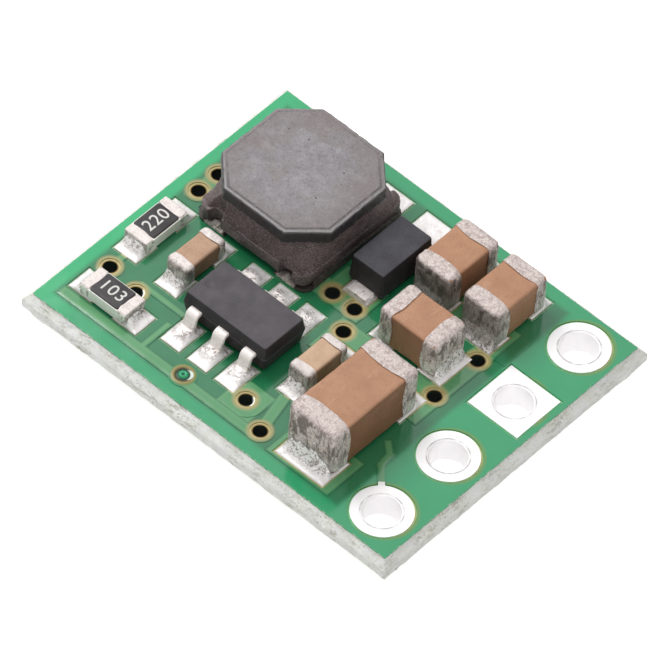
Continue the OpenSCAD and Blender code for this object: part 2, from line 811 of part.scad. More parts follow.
// Solder on a chip's two pads: a film on each pad and a fillet up each end
fillet_toe = 0.75;
fillet_rise = 0.42;
module chip_solder(chip, toe) {
  rise = min(chip[5] * fillet_rise, toe * 1.6);
  translate([0, 0, pad_z]) linear_extrude(solder_t) chip_pads_2d(chip, toe);
  place(chip) for (s = [0, 180]) rotate(s) translate([chip[3] / 2, 0, 0])
    fillet(toe * fillet_toe, rise, chip[4] - 2 * cap_edge_r);
}

module solder_resistors() {
  color(tin_c) for (c = [res_left, res_front]) chip_solder(c, pad_toe);
}

module solder_input_capacitors() {
  color(tin_c) for (c = [cap_boost, cap_small_in, cap_large_in]) chip_solder(c, pad_toe);
}

module solder_output_capacitors() {
  color(tin_c) for (c = [cap_out_1, cap_out_2, cap_out_3]) chip_solder(c, out_toe);
}

module solder_regulator() {
  toe = reg_pad_in + reg_pad_l - reg_span / 2;
  color(tin_c) {
    translate([0, 0, pad_z]) linear_extrude(solder_t) regulator_pads_2d();
    for (i = [1:6]) at_lead(i) translate([reg_span / 2, 0, 0])
      fillet(toe * fillet_toe, lead_t * 0.8, lead_w);
  }
}

module solder_diode() {
  color(tin_c) {
    translate([0, 0, pad_z]) linear_extrude(solder_t) diode_pads_2d();
    at_tab(1) translate([diode_l / 2 + tab_out, 0, 0]) fillet(tab_t, tab_t * 0.8, tab_w);
  }
}

module solder_inductor() {
  color(tin_c) {
    translate([0, 0, pad_z]) linear_extrude(solder_t) inductor_pads_2d();
  }
}

printed_board_laminate();
top_copper();
bottom_copper();
top_solder_mask();
bottom_solder_mask();
via_barrels();
pin_hole_plating(1);  // pin_hole_plating_1
pin_hole_plating(2);  // pin_hole_plating_2
pin_hole_plating(3);  // pin_hole_plating_3
pin_hole_plating(4);  // pin_hole_plating_4
inductor_core();
inductor_winding();
inductor_resin_coat();
inductor_terminal(-1);  // inductor_terminal_left
inductor_terminal(1);  // inductor_terminal_right
regulator_body();
regulator_lead(1);  // regulator_lead_1
regulator_lead(2);  // regulator_lead_2
regulator_lead(3);  // regulator_lead_3
regulator_lead(4);  // regulator_lead_4
regulator_lead(5);  // regulator_lead_5
regulator_lead(6);  // regulator_lead_6
diode_body();
diode_tab(-1);  // diode_tab_front
diode_tab(1);  // diode_tab_rear
resistor_substrate(res_left);  // left_resistor_substrate
resistor_film(res_left);  // left_resistor_film
resistor_overcoat(res_left);  // left_resistor_overcoat
resistor_end(res_left, -1);  // left_resistor_end_front
resistor_end(res_left, 1);  // left_resistor_end_rear
resistor_substrate(res_front);  // front_resistor_substrate
resistor_film(res_front);  // front_resistor_film
resistor_overcoat(res_front);  // front_resistor_overcoat
resistor_end(res_front, -1);  // front_resistor_end_left
resistor_end(res_front, 1);  // front_resistor_end_right
capacitor_body(cap_boost, tan_c);  // boost_capacitor_body
capacitor_end(cap_boost, -1);  // boost_capacitor_end_front
capacitor_end(cap_boost, 1);  // boost_capacitor_end_rear
capacitor_body(cap_small_in, tan_c);  // small_input_capacitor_body
capacitor_end(cap_small_in, -1);  // small_input_capacitor_end_front
capacitor_end(cap_small_in, 1);  // small_input_capacitor_end_rear
capacitor_body(cap_large_in, brown_c);  // large_input_capacitor_body
capacitor_end(cap_large_in, -1);  // large_input_capacitor_end_front
capacitor_end(cap_large_in, 1);  // large_input_capacitor_end_rear
capacitor_body(cap_out_1, brown_c);  // output_capacitor_1_body
capacitor_end(cap_out_1, -1);  // output_capacitor_1_end_left
capacitor_end(cap_out_1, 1);  // output_capacitor_1_end_right
capacitor_body(cap_out_2, brown_c);  // output_capacitor_2_body
capacitor_end(cap_out_2, -1);  // output_capacitor_2_end_front
capacitor_end(cap_out_2, 1);  // output_capacitor_2_end_rear
capacitor_body(cap_out_3, brown_c);  // output_capacitor_3_body
capacitor_end(cap_out_3, -1);  // output_capacitor_3_end_front
capacitor_end(cap_out_3, 1);  // output_capacitor_3_end_rear
solder_inductor();
solder_regulator();
solder_diode();
solder_resistors();
solder_input_capacitors();
solder_output_capacitors();
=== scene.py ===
"""Looks of the buck converter module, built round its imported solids.

Sizes in this file are millimetres in the part's own frame and become metres
when a mesh is made. Colours are written as 0 to 255 screen values.
"""

import json
import math
from functools import reduce

import bmesh
import bpy
import numpy as np
from mathutils import Matrix, Vector

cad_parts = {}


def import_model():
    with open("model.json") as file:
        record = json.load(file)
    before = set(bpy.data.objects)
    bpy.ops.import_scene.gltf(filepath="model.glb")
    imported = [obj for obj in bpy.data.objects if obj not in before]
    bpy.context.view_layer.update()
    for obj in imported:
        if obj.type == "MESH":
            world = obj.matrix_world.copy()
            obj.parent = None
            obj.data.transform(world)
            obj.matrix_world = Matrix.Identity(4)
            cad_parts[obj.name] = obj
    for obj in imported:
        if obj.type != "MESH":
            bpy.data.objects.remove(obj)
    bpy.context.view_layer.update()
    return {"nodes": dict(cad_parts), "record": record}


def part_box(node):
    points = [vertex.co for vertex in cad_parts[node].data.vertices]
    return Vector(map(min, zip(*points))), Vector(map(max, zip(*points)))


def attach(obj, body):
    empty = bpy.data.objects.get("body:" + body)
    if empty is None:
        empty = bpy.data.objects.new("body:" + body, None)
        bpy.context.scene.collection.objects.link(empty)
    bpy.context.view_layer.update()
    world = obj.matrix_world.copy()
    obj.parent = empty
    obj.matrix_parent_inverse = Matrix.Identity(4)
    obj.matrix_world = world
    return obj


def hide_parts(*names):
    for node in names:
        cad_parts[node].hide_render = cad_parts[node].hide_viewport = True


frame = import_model()

MM = 0.001
BODY = "root"

# ------------------------------------------------------------------ sizes

# Levels of the board, and the lands' solder
PAD_Z = 0.775
SOLDER_T = 0.03
SEAT = PAD_Z + SOLDER_T
MASK_T = 0.025
# How far a chip's pad runs past its end, and in under it
PAD_TOE, OUTPUT_TOE, PAD_HEEL = 0.38, 0.24, 0.12
# Foil under the green mask: strips and fills as (from x, from y, to x, to y)
FILLS = [
    (-5.72, -4.42, 1.1, -4.12),
    (1.62, -4.42, 3.74, -3.0),
    (0.06, -1.1, 3.78, 0.22),
    (3.12, 0.0, 3.78, 2.0),
    (-1.0, 0.3, 0.44, 1.6),
    (-2.1, 0.3, -0.9, 0.95),
    (-5.68, 0.48, -4.9, 1.7),
    (0.66, 1.98, 3.76, 3.04),
]
# Narrow tracks as (from, to, width)
TRACKS = [
    ((-4.35, -2.66), (-2.5, -2.66), 0.16),
    ((-5.34, -2.82), (-5.34, -2.2), 0.2),
    ((-4.28, -2.98), (-4.28, -2.66), 0.16),
    ((-2.95, -3.2), (-2.95, -4.2), 0.16),
    ((5.08, -3.81), (4.05, -2.7), 0.18),
    ((4.05, -2.7), (3.98, -2.3), 0.18),
    ((3.98, -2.3), (3.7, -2.05), 0.18),
    ((0.82, -2.9), (1.1, -4.08), 0.32),
    ((0.14, -3.58), (0.16, -3.58), 1.1),
]
# The piece of the first pin's track that the mask leaves bare
BARE_STUB = (4.55, -3.24)
VIAS = [
    (-5.34, -2.82), (-4.28, -2.98), (0.15, -3.58), (1.1, -4.08), (-0.67, 0.63),
    (0.1, 0.63), (0.4, -0.13), (3.5, 1.62), (3.5, -0.05), (-5.47, 0.7),
    (-5.47, 1.48),
]
# Vias whose far wall catches the light
LIT_VIAS = (1, 2)
PLUGGED_VIA = (-1.54, -4.13)
VIA_LAND_R = 0.36
# Middles of the pin holes, and the half-length and half-width of the faces inside the scored edge
PIN_X, PIN_Y, PIN_R = 5.08, (-3.81, -1.27, 1.27, 3.81), 0.51
FACE = (6.15, 4.88)
# Edge of the ground plane on the far side, which darkens the mask above it
PLANE = (-5.8, -4.5, 4.15, 4.5)
# Where the solder is painted brown: beside the regulator's near leads, on their shadow side, as painted shadow
# with flux; and behind its far ones, as flux
BROWN_SPOTS = [(x, y) for k in (-2.47, -1.52, -0.57) for x, y in ((k + 0.26, -2.74), (k - 0.06, -0.42))]

# Inductor: its middle, its octagon's flats and cut, its lower flange, and their levels and notches
IND = np.array([-3.05, 1.98])
OCTAGON, OCTAGON_CUT, FLANGE_T, BEVEL = 3.88, 0.88, 0.4, 0.06
BASE = np.array([3.79, 3.95])
IND_TOP, BASE_LOW, BASE_HIGH = SEAT + 1.8, SEAT + 0.08, SEAT + 0.58
FLANGE_LOW = IND_TOP - FLANGE_T
NOTCH_X, NOTCH_R = 1.26, 0.22

# Regulator's leads: section, bend, pitch and where they leave the body and end; and their pads
LEAD_W, LEAD_T, LEAD_BEND, LEAD_ANGLE = 0.38, 0.13, 0.12, 73
LEAD_PITCH, LEAD_ROOT, LEAD_TIP = 0.95, 0.8, 1.4
LEAD_PAD, LEAD_PAD_HALF = (0.78, 1.78), 0.335
# Diode's tabs, and its pads as (half-width, from, to) out from its middle
TAB_W, TAB_T = 0.66, 0.15
DIODE_PADS = {-1: (0.425, 0.65, 1.36), 1: (0.625, 0.65, 2.16)}
# Thickness of the metal on a chip's ends, and the length that small chips stay under
END_T, SMALL_CHIP = 0.035, 1.8
# Printed dot beside lead 1: its place from the body's left side and middle, its radius and depth
DOT_X, DOT_Y, DOT_R, DOT_DEPTH = 0.32, -0.16, 0.09, 0.02

CHIPS = {
    # name: (ends, pad toe, height the solder climbs)
    "left_resistor": (("front", "rear"), PAD_TOE, 0.3),
    "front_resistor": (("left", "right"), PAD_TOE, 0.3),
    "boost_capacitor": (("front", "rear"), PAD_TOE, 0.34),
    "small_input_capacitor": (("front", "rear"), PAD_TOE, 0.34),
    "large_input_capacitor": (("front", "rear"), PAD_TOE, 0.5),
    "output_capacitor_1": (("left", "right"), OUTPUT_TOE, 0.45),
    "output_capacitor_2": (("front", "rear"), OUTPUT_TOE, 0.42),
    "output_capacitor_3": (("front", "rear"), OUTPUT_TOE, 0.42),
}


def span(*nodes):
    """Lowest and highest corner of one or more nodes, in millimetres."""
    corners = np.array([[list(c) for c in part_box(n)] for n in nodes]) / MM
    return corners[:, 0].min(0), corners[:, 1].max(0)


# -------------------------------------------------------------- materials


def tint(tone):
    """Linear colour of three 0 to 255 screen values; a socket stays as it is."""
    if not isinstance(tone, tuple):
        return tone
    c = np.array(tone) / 255
    return (*np.where(c <= 0.04045, c / 12.92, ((c + 0.055) / 1.055) ** 2.4), 1.0)


class Graph:
    """Short calls that add nodes to one shader tree. Any value may be a number or another node's socket."""

    def __init__(self, tree):
        self.tree = tree

    def node(self, kind, **settings):
        n = self.tree.nodes.new("ShaderNode" + kind)
        for key, value in settings.items():
            setattr(n, key, value)
        return n

    def feed(self, socket, value):
        if isinstance(value, bpy.types.NodeSocket):
            self.tree.links.new(value, socket)
        elif value is not None:
            socket.default_value = value

    def call(self, kind, *values, out=0, **settings):
        """Adds a node, feeds its first sockets and returns one of its outputs."""
        n = self.node(kind, **settings)
        for socket, value in zip(n.inputs, values):
            self.feed(socket, value)
        return n.outputs[out]

    def vector(self, operation, *values):
        out = "Value" if operation in ("DOT_PRODUCT", "DISTANCE") else "Vector"
        return self.call("VectorMath", *values, operation=operation, out=out)

    def split(self, vector):
        n = self.node("SeparateXYZ")
        self.feed(n.inputs[0], vector)
        return n.outputs

    def math(self, operation, *values):
        return self.call("Math", *values, operation=operation)

    def fold(self, operation, values):
        return reduce(lambda a, b: self.math(operation, a, b), values)

    def times(self, *values):
        return self.fold("MULTIPLY", values)

    def plus(self, a, b):
        return self.math("ADD", a, b)

    def less(self, a, b):
        return self.math("SUBTRACT", a, b)

    def line(self, value, slope, level):
        return self.math("MULTIPLY_ADD", value, slope, level)

    def between(self, value, low, high, out_low=0.0, out_high=1.0):
        """Smooth step of a value from one level to another."""
        return self.call("MapRange", value, low, high, out_low, out_high, interpolation_type="SMOOTHSTEP")

    def fall(self, value, low, high, start=1.0):
        return self.between(value, low, high, start, 0.0)

    def band(self, value, a, b, c, d):
        """Rises from a to b and falls from c to d."""
        return self.times(self.between(value, a, b), self.fall(value, c, d))


class Finish(Graph):
    """A material under construction: one Principled shader, and `tone`, the colour painted so far."""

    def __init__(self, name, **fixed):
        self.material = bpy.data.materials.new(name)
        self.material.use_nodes = True
        super().__init__(self.material.node_tree)
        self.shader = self.tree.nodes["Principled BSDF"]
        for socket, value in fixed.items():
            self.shader.inputs[socket.replace("_", " ")].default_value = value
        self.mm = self.vector("SCALE", self.node("TexCoord").outputs["Object"], None, None, 1 / MM)
        self.tone = None

    def stretch(self, factors):
        return self.vector("MULTIPLY", self.mm, factors)

    def axes(self):
        return self.split(self.mm)

    def up(self):
        """Z of the surface's own normal: 1 on a face that looks up."""
        return self.split(self.node("NewGeometry").outputs["Normal"])[2]

    def steep(self):
        return self.math("ABSOLUTE", self.up())

    def away(self, *places):
        """Level distance to the nearest of some (x, y) places."""
        flat = self.stretch((1, 1, 0))
        return self.fold("MINIMUM", [self.vector("DISTANCE", flat, (*place, 0)) for place in places])

    def noise(self, size, detail=3.0, rough=0.55, along=None, warp=0.0):
        """Cloudy noise whose largest lumps are about `size` millimetres, drawn out where `along` is below 1."""
        n = self.node("TexNoise")
        named = {"Vector": self.stretch(along) if along else self.mm, "Scale": 1 / size, "Detail": detail,
                 "Roughness": rough, "Distortion": warp}
        for key, value in named.items():
            self.feed(n.inputs[key], value)
        return n.outputs["Fac"]

    def cells(self, size):
        n = self.node("TexVoronoi")
        self.feed(n.inputs["Vector"], self.mm)
        n.inputs["Scale"].default_value = 1 / size
        return n.outputs["Distance"]

    def ramp(self, value, *stops):
        """Colour by value: stops are (position, colour)."""
        n = self.node("ValToRGB")
        elements = n.color_ramp.elements
        while len(elements) < len(stops):
            elements.new(0.5)
        for element, (position, tone) in zip(elements, stops):
            element.position = position
            element.color = tint(tone)
        self.feed(n.inputs[0], value)
        return n.outputs[0]

    def cloudy(self, value, low, high):
        """Two tones by a noise's value."""
        return self.ramp(value, (0.3, low), (0.7, high))

    def mix(self, amount, a, b, blend="MIX"):
        n = self.node("Mix", data_type="RGBA", blend_type=blend)
        for i, value in ((0, amount), (6, tint(a)), (7, tint(b))):
            self.feed(n.inputs[i], value)
        return n.outputs[2]

    def paint(self, tone, *amounts):
        """Lays a colour over the tone so far, by the product of some amounts."""
        self.tone = self.mix(self.times(*amounts), self.tone, tone)

    def done(self, *heights, rough=None):
        """The finished material. Heights are its relief as (value, depth in millimetres), finest last."""
        normal = None
        for value, depth in heights:
            n = self.node("Bump")
            for key, setting in {"Strength": 1.0, "Distance": depth * MM, "Height": value, "Normal": normal}.items():
                self.feed(n.inputs[key], setting)
            normal = n.outputs[0]
        for key, value in {"Base Color": self.tone, "Roughness": rough, "Normal": normal}.items():
            self.feed(self.shader.inputs[key], value)
        return self.material


def bar_distance(f, start, end, half_width):
    """Distance outside a straight bar with square ends, in millimetres; below 0 inside it."""
    start, end = np.array(start, float), np.array(end, float)
    length = np.linalg.norm(end - start)
    c, s = (end - start) / length
    off = f.vector("SUBTRACT", f.mm, (*((start + end) / 2), 0))
    u, v = (f.math("ABSOLUTE", f.vector("DOT_PRODUCT", off, way)) for way in ((c, s, 0), (-s, c, 0)))
    return f.math("MAXIMUM", f.less(u, length / 2), f.less(v, half_width))


def fill_distance(f, x0, y0, x1, y1):
    middle = (y0 + y1) / 2
    return bar_distance(f, (x0, middle), (x1, middle), (y1 - y0) / 2)


def track_distance(f, start, end, width):
    """Distance outside a track, whose square ends stand out by half its width."""
    a, b = np.array(start, float), np.array(end, float)
    on = (b - a) / np.linalg.norm(b - a) * width / 2
    return bar_distance(f, a - on, b + on, width / 2)


def pins_away(f, shift=0.0):
    """Level distance to the nearest pin hole, seen from a point a little off its middle."""
    return f.away(*[(PIN_X + shift, y + shift) for y in PIN_Y])


def green_mask():
    """Glossy green solder mask: paler and yellower over foil, darker over the ground plane, with a soft shoulder
    along each foil edge, a gold fade round each via and a yellow-green side to each pin's opening. Light is painted
    in too: a brighter green towards the left margin, a pale highlight just inside each foil edge and a dark line of
    shade just outside it. The underside counts as foil all over, as its copper is one plane."""
    f = Finish("green solder mask", IOR=1.5, Specular_IOR_Level=1.0)
    x, y, z = f.axes()
    via = f.away(*VIAS)
    foil = f.fold("MINIMUM", [fill_distance(f, *a) for a in FILLS] + [track_distance(f, *t) for t in TRACKS]
                  + [f.less(via, VIA_LAND_R)])
    foil = f.less(foil, f.fall(z, 0.3, 0.4, 5.0))
    wobble = f.noise(0.9, detail=2)
    f.tone = f.mix(wobble, (30, 158, 102), (44, 168, 112))
    # painted light: a brighter green towards the left margin
    f.paint((40, 188, 122), f.fall(x, -6.0, -4.6, 0.7))
    f.paint(f.mix(wobble, (26, 116, 72), (42, 131, 87)), f.fall(fill_distance(f, *PLANE), -0.12, 0.1))
    f.paint(f.mix(wobble, (78, 150, 96), (94, 162, 108)), f.fall(foil, -0.05, 0.03))
    # painted shade: a dark line just outside each foil edge, where the shoulder slopes down
    edge_shade_strength = f.between(f.noise(1.1, detail=2), 0.38, 0.62, 0.1, 0.42)
    f.paint((20, 84, 50), f.band(foil, -0.03, 0.02, 0.02, 0.08), edge_shade_strength)
    # painted highlight: a pale line on the shoulder just inside each foil edge
    f.paint((150, 190, 140), f.band(foil, -0.12, -0.06, -0.06, -0.01), 0.1)
    f.paint((186, 164, 108), f.fall(via, 0.27, 0.43), 0.88)
    f.paint((128, 150, 60), f.fall(pins_away(f, 0.03), 0.9, 0.97), 0.55)
    rim = f.fold("MAXIMUM", [f.less(f.math("ABSOLUTE", v), half) for v, half in zip((x, y), FACE)])
    f.paint((214, 222, 200), f.between(f.plus(rim, f.times(f.noise(0.1, detail=4), 0.05)), 0.02, 0.035))
    f.paint((20, 100, 58), f.noise(0.05, detail=2), 0.1)
    return f.done((f.fall(foil, -0.09, 0.07), 0.004), (f.noise(0.3), 0.0012),
                  rough=f.between(f.noise(0.5), 0.3, 0.7, 0.09, 0.15))


def plugged_mask():
    """Mask that plugs a via: green on its dome and gold over the land's rim, with painted shade near black in its
    small middle hole and dark in the dip round the dome, and a pale crescent painted as a highlight on the dome's side
    away from the board's front."""
    f = Finish("plugged mask", Roughness=0.3, IOR=1.5, Specular_IOR_Level=0.35)
    away = f.away(PLUGGED_VIA)
    wander = f.plus(away, f.times(f.noise(0.12, detail=2), 0.02))
    # painted shade: near black in the middle hole and dark in the dip round the dome
    f.tone = f.ramp(f.math("DIVIDE", wander, 0.4), (0.08, (6, 26, 14)), (0.14, (60, 176, 128)),
                    (0.34, (40, 146, 96)), (0.42, (12, 44, 24)), (0.53, (20, 52, 26)),
                    (0.62, (132, 118, 68)), (0.74, (156, 142, 88)), (0.94, (88, 150, 98)))
    # painted highlight: a pale crescent on the dome's far side
    crescent_away = f.away((PLUGGED_VIA[0] + 0.09, PLUGGED_VIA[1] + 0.07))
    f.paint((232, 246, 234), f.between(away, 0.165, 0.2), f.fall(crescent_away, 0.13, 0.18), 0.85)
    return f.done((f.noise(0.05), 0.002))


def glass_laminate():
    """Broken glass-cloth laminate: near-white resin and glass with fine grey streaks that run along the edge.
    Inside the board's rim it shows only as the thin line round each land, stained by the mask and painted lighter than
    that stain to offset the shade in the narrow gap."""
    f = Finish("sawn laminate", Roughness=0.85, Subsurface_Weight=0.25, Subsurface_Scale=0.0004,
               Subsurface_Radius=(1.0, 1.0, 0.85), Specular_IOR_Level=0.25)
    streaks = f.noise(0.075, detail=6, rough=0.65, along=(0.2, 0.2, 1.0), warp=0.4)
    bundles = f.noise(0.45, detail=4, along=(1.0, 1.0, 1.6), warp=0.5)
    grit = f.noise(0.04, detail=3, along=(0.6, 0.6, 1.0))
    patch = f.between(f.noise(0.6, detail=2), 0.4, 0.62, 0.2, 1.0)
    f.tone = f.ramp(bundles, (0.3, (240, 241, 230)), (0.5, (250, 250, 243)), (0.7, (255, 255, 252)))
    f.paint((166, 164, 142), f.fall(streaks, 0.38, 0.52, 0.55), patch)
    f.paint((130, 124, 106), f.fall(grit, 0.34, 0.46, 0.4), patch)
    f.paint((255, 255, 253), f.between(grit, 0.56, 0.68, 0.0, 0.7))
    x, y, z = f.axes()
    inside = [f.fall(f.math("ABSOLUTE", v), half - 0.1, half - 0.06) for v, half in zip((x, y), FACE)]
    pins = pins_away(f, 0.04)
    # painted light: the stain colours are lighter than the real stain, to offset the shade in the narrow gap round
    # each land
    stain_and_painted_light = f.mix(f.between(pins, 0.8, 0.86), (226, 216, 150), (130, 214, 150))
    stain_and_painted_light = f.mix(f.between(pins, 1.0, 1.3), stain_and_painted_light, (176, 218, 176))
    f.paint(stain_and_painted_light, *inside, f.between(z, 0.68, 0.72))
    return f.done((streaks, 0.02), (bundles, 0.012), (grit, 0.012))


def bare_copper():
    """Edge of the foil that shows in the mask's openings: dull gold under a green tint, and tinned on the stub."""
    f = Finish("tinned foil", Metallic=0.35, Roughness=0.5)
    foil = f.cloudy(f.noise(0.15), (160, 152, 104), (188, 178, 130))
    f.tone = f.mix(f.between(f.away(BARE_STUB), 0.22, 0.28), (250, 247, 247), foil)
    return f.done((f.noise(0.04), 0.004))


def via_plating():
    """Plated via: a thin brown-gold lip, a bore painted almost black below its mouth as shade, and a painted highlight
    on the far wall of the vias in LIT_VIAS.
    """
    f = Finish("via plating", Roughness=0.5, Specular_IOR_Level=0.3)
    z = f.axes()[2]
    mouth = f.between(z, 0.76, 0.775)
    cloud = f.noise(0.12, detail=3)
    # painted shade: the bore is near black below its mouth
    f.tone = f.mix(cloud, (8, 20, 14), (22, 42, 30))
    f.paint(f.mix(cloud, (116, 92, 48), (158, 134, 84)), mouth)
    # painted highlight on the far wall of the vias in LIT_VIAS
    lit = f.away(*[(VIAS[i][0] + 0.2, VIAS[i][1] + 0.1) for i in LIT_VIAS])
    f.paint((250, 252, 246), f.fall(lit, 0.14, 0.19), f.between(z, 0.5, 0.6))
    f.feed(f.shader.inputs["Metallic"], f.times(mouth, 0.25))
    return f.done((cloud, 0.004), rough=f.between(mouth, 0.0, 1.0, 0.75, 0.45))


def terminal_metal():
    """Metal fired on the core's foot: pale tin where its lugs stand in the notches, and painted brown-black elsewhere
    as shade under the core's foot.
    """
    f = Finish("terminal metal", Metallic=0.2, Roughness=0.5)
    notch = f.away(*[(IND[0] + sx * NOTCH_X, IND[1] + sy * BASE[1] / 2) for sx in (-1, 1) for sy in (-1, 1)])
    grain = f.noise(0.08, detail=4)
    f.tone = f.ramp(grain, (0.35, (150, 140, 132)), (0.65, (224, 216, 210)))
    # painted shade: brown-black away from the notches
    f.paint(f.ramp(grain, (0.35, (44, 38, 36)), (0.65, (84, 76, 72))), f.between(notch, 0.26, 0.36))
    return f.done((grain, 0.012))


def plain(name, cloud, low, high, grain, depth, **fixed):
    """A finish of two clouded tones with fine relief."""
    f = Finish(name, **fixed)
    f.tone = f.cloudy(f.noise(cloud), low, high)
    return f.done((f.noise(grain), depth))


def hole_tin():
    """Levelled tin on the pin holes' lands: a matt near-white, with a grey line painted as shade on the lip round the
    mouth of each bore.
    """
    f = Finish("pin hole tin", Metallic=0.42, Roughness=0.5)
    cloud = f.noise(0.5, detail=4)
    frayed = f.between(f.noise(0.3, detail=3), 0.36, 0.6, 0.25, 0.8)
    f.tone = f.mix(cloud, (252, 249, 250), (255, 255, 255))
    # painted shade: a broken grey line on the lip round each bore's mouth
    f.paint((166, 160, 162), frayed,
            f.band(pins_away(f), PIN_R + 0.03, PIN_R + 0.055, PIN_R + 0.065, PIN_R + 0.1))
    f.paint((206, 200, 202), f.between(f.noise(0.04, detail=2), 0.62, 0.72), 0.2)
    return f.done((cloud, 0.01), (f.noise(0.08), 0.003), rough=f.between(cloud, 0.3, 0.7, 0.45, 0.62))


def bright_tin():
    """Tin on lead frames: bright and satin, faintly pink, with rolling lines and brown patches of painted shade low on
    its sides.
    """
    f = Finish("bright tin", Metallic=0.15, Roughness=0.42)
    grain = f.noise(0.1, detail=4)
    shade_patches = f.between(f.noise(0.16, detail=5, warp=1.0), 0.5, 0.62)
    low = f.between(f.axes()[2], SEAT + 0.14, SEAT + 0.5, 1.0, 0.15)
    f.tone = f.cloudy(grain, (244, 233, 228), (255, 249, 246))
    # painted shade: brown patches low down, strongest on the upright sides
    f.paint((112, 82, 66), shade_patches, low, f.between(f.steep(), 0.1, 0.5, 0.6, 0.15))
    return f.done((grain, 0.008), (f.noise(0.03), 0.003), rough=f.between(grain, 0.3, 0.7, 0.34, 0.52))


def flowed_solder():
    """Solder that has flowed and set: white and frosted where it lies flat, with brown-grey flux texture and dark pits
    where it climbs and at the brown spots by the regulator's leads, which also stand as painted shade there, and
    shade on the land between the two rear output capacitors."""
    f = Finish("flowed solder", Metallic=0.25, Roughness=0.42)
    lumps = f.noise(0.2, detail=5, warp=0.8)
    flux = f.noise(0.11, detail=5, rough=0.65, warp=1.2)
    frost = f.noise(0.03, detail=3)
    x, y, z = f.axes()
    # the brown and the pits are flux texture and also painted shade, where the solder climbs and on the brown spots
    raised_and_shaded = f.between(f.plus(z, f.line(lumps, 0.12, -0.06)), SEAT + 0.02, SEAT + 0.14)
    raised_and_shaded = f.math("MAXIMUM", raised_and_shaded, f.fall(f.away(*BROWN_SPOTS), 0.1, 0.3))
    f.tone = f.ramp(lumps, (0.3, (234, 228, 226)), (0.6, (250, 247, 246)))
    f.paint((88, 76, 68), f.band(y, 1.7, 1.8, 2.3, 2.4), f.between(x, 0.3, 0.5),
            f.between(flux, 0.4, 0.56, 0.85, 0.3))
    f.paint((120, 98, 86), f.between(flux, 0.5, 0.58), f.line(raised_and_shaded, 0.72, 0.03))
    f.paint((88, 74, 68), f.fall(frost, 0.34, 0.44), f.line(raised_and_shaded, 0.55, 0.04))
    return f.done((lumps, 0.02), (flux, 0.008), (frost, 0.004), rough=f.between(lumps, 0.3, 0.7, 0.3, 0.55))


def fired_metal():
    """Tin over fired silver on the chips' ends: pinkish white and mottled on top, and whiter on the low chips. The
    standing faces have upright dark streaks and rubbed grey blotches, paler low down and shaded between chips."""
    f = Finish("fired metal end", Metallic=0.15, Roughness=0.55, Specular_IOR_Level=0.4)
    grain = f.noise(0.05, detail=4)
    blotch = f.noise(0.22, detail=5, along=(1.0, 1.0, 0.45), warp=0.8)
    streak = f.noise(0.1, detail=4, along=(1.0, 1.0, 0.22), warp=0.3)
    cloud = f.noise(0.16, detail=5, rough=0.6, warp=0.6)
    _, y, z = f.axes()
    stand = f.fall(f.steep(), 0.25, 0.85)
    low = f.fall(z, SEAT + 0.25, SEAT + 0.75)
    f.tone = f.ramp(grain, (0.3, (190, 174, 168)), (0.5, (216, 202, 197)), (0.75, (242, 233, 230)))
    f.paint((150, 128, 118), f.between(cloud, 0.5, 0.6, 0.0, 0.45))
    f.paint((250, 243, 240), f.fall(z, SEAT + 0.85, SEAT + 0.95, 0.5), f.fall(stand, 0.0, 0.6))
    f.paint((250, 245, 242), low, stand, 0.6)
    dark = f.math("MAXIMUM", f.between(blotch, 0.48, 0.6), f.between(streak, 0.53, 0.62, 0.0, 0.8))
    f.paint((80, 67, 62), dark, stand, f.line(low, -0.5, 1.0), 0.8)
    f.paint((60, 50, 46), f.band(y, 1.9, 2.1, 2.3, 2.6), stand, 0.5)
    f.paint((92, 78, 72), f.fall(f.noise(0.035, detail=3), 0.37, 0.46), f.line(stand, 0.55, 0.22))
    return f.done((cloud, 0.016), (streak, 0.01), (grain, 0.01), rough=f.between(grain, 0.3, 0.7, 0.42, 0.65))


def chip_ceramic(name, light, middle, dark, side=0.55):
    """Fired ceramic of a chip capacitor: an even colour with fine dark and pale grains and faint scuffs, and painted
    shade on its standing faces, as strong as `side`."""
    f = Finish(name, Roughness=0.55, IOR=1.5, Specular_IOR_Level=0.3)
    cloud = f.noise(0.5, detail=3)
    grain = f.noise(0.035, detail=2)
    scuff = f.between(f.noise(0.3, detail=4, along=(1.0, 0.25, 1.0), warp=0.4), 0.56, 0.7)
    f.tone = f.cloudy(cloud, middle, light)
    f.paint((226, 190, 160), scuff, 0.25)
    f.paint(dark, f.fall(grain, 0.3, 0.42), 0.45)
    # painted shade on the standing faces, by side
    f.paint(f.mix(1.0, f.tone, (150, 132, 112), "MULTIPLY"), f.fall(f.up(), 0.3, 0.8, side))
    return f.done((cloud, 0.008), (grain, 0.005), rough=f.between(grain, 0.35, 0.65, 0.62, 0.45))


def ferrite_rim(f):
    """Distance out from the upper flange's outline, below 0 inside it, in millimetres."""
    x, y, _ = f.split(f.vector("ABSOLUTE", f.vector("SUBTRACT", f.mm, (*IND, 0))))
    flat = f.less(f.math("MAXIMUM", x, y), OCTAGON / 2)
    corner = f.less(f.times(f.plus(x, y), math.sqrt(0.5)), (OCTAGON - OCTAGON_CUT) * math.sqrt(0.5))
    return f.math("MAXIMUM", flat, corner)


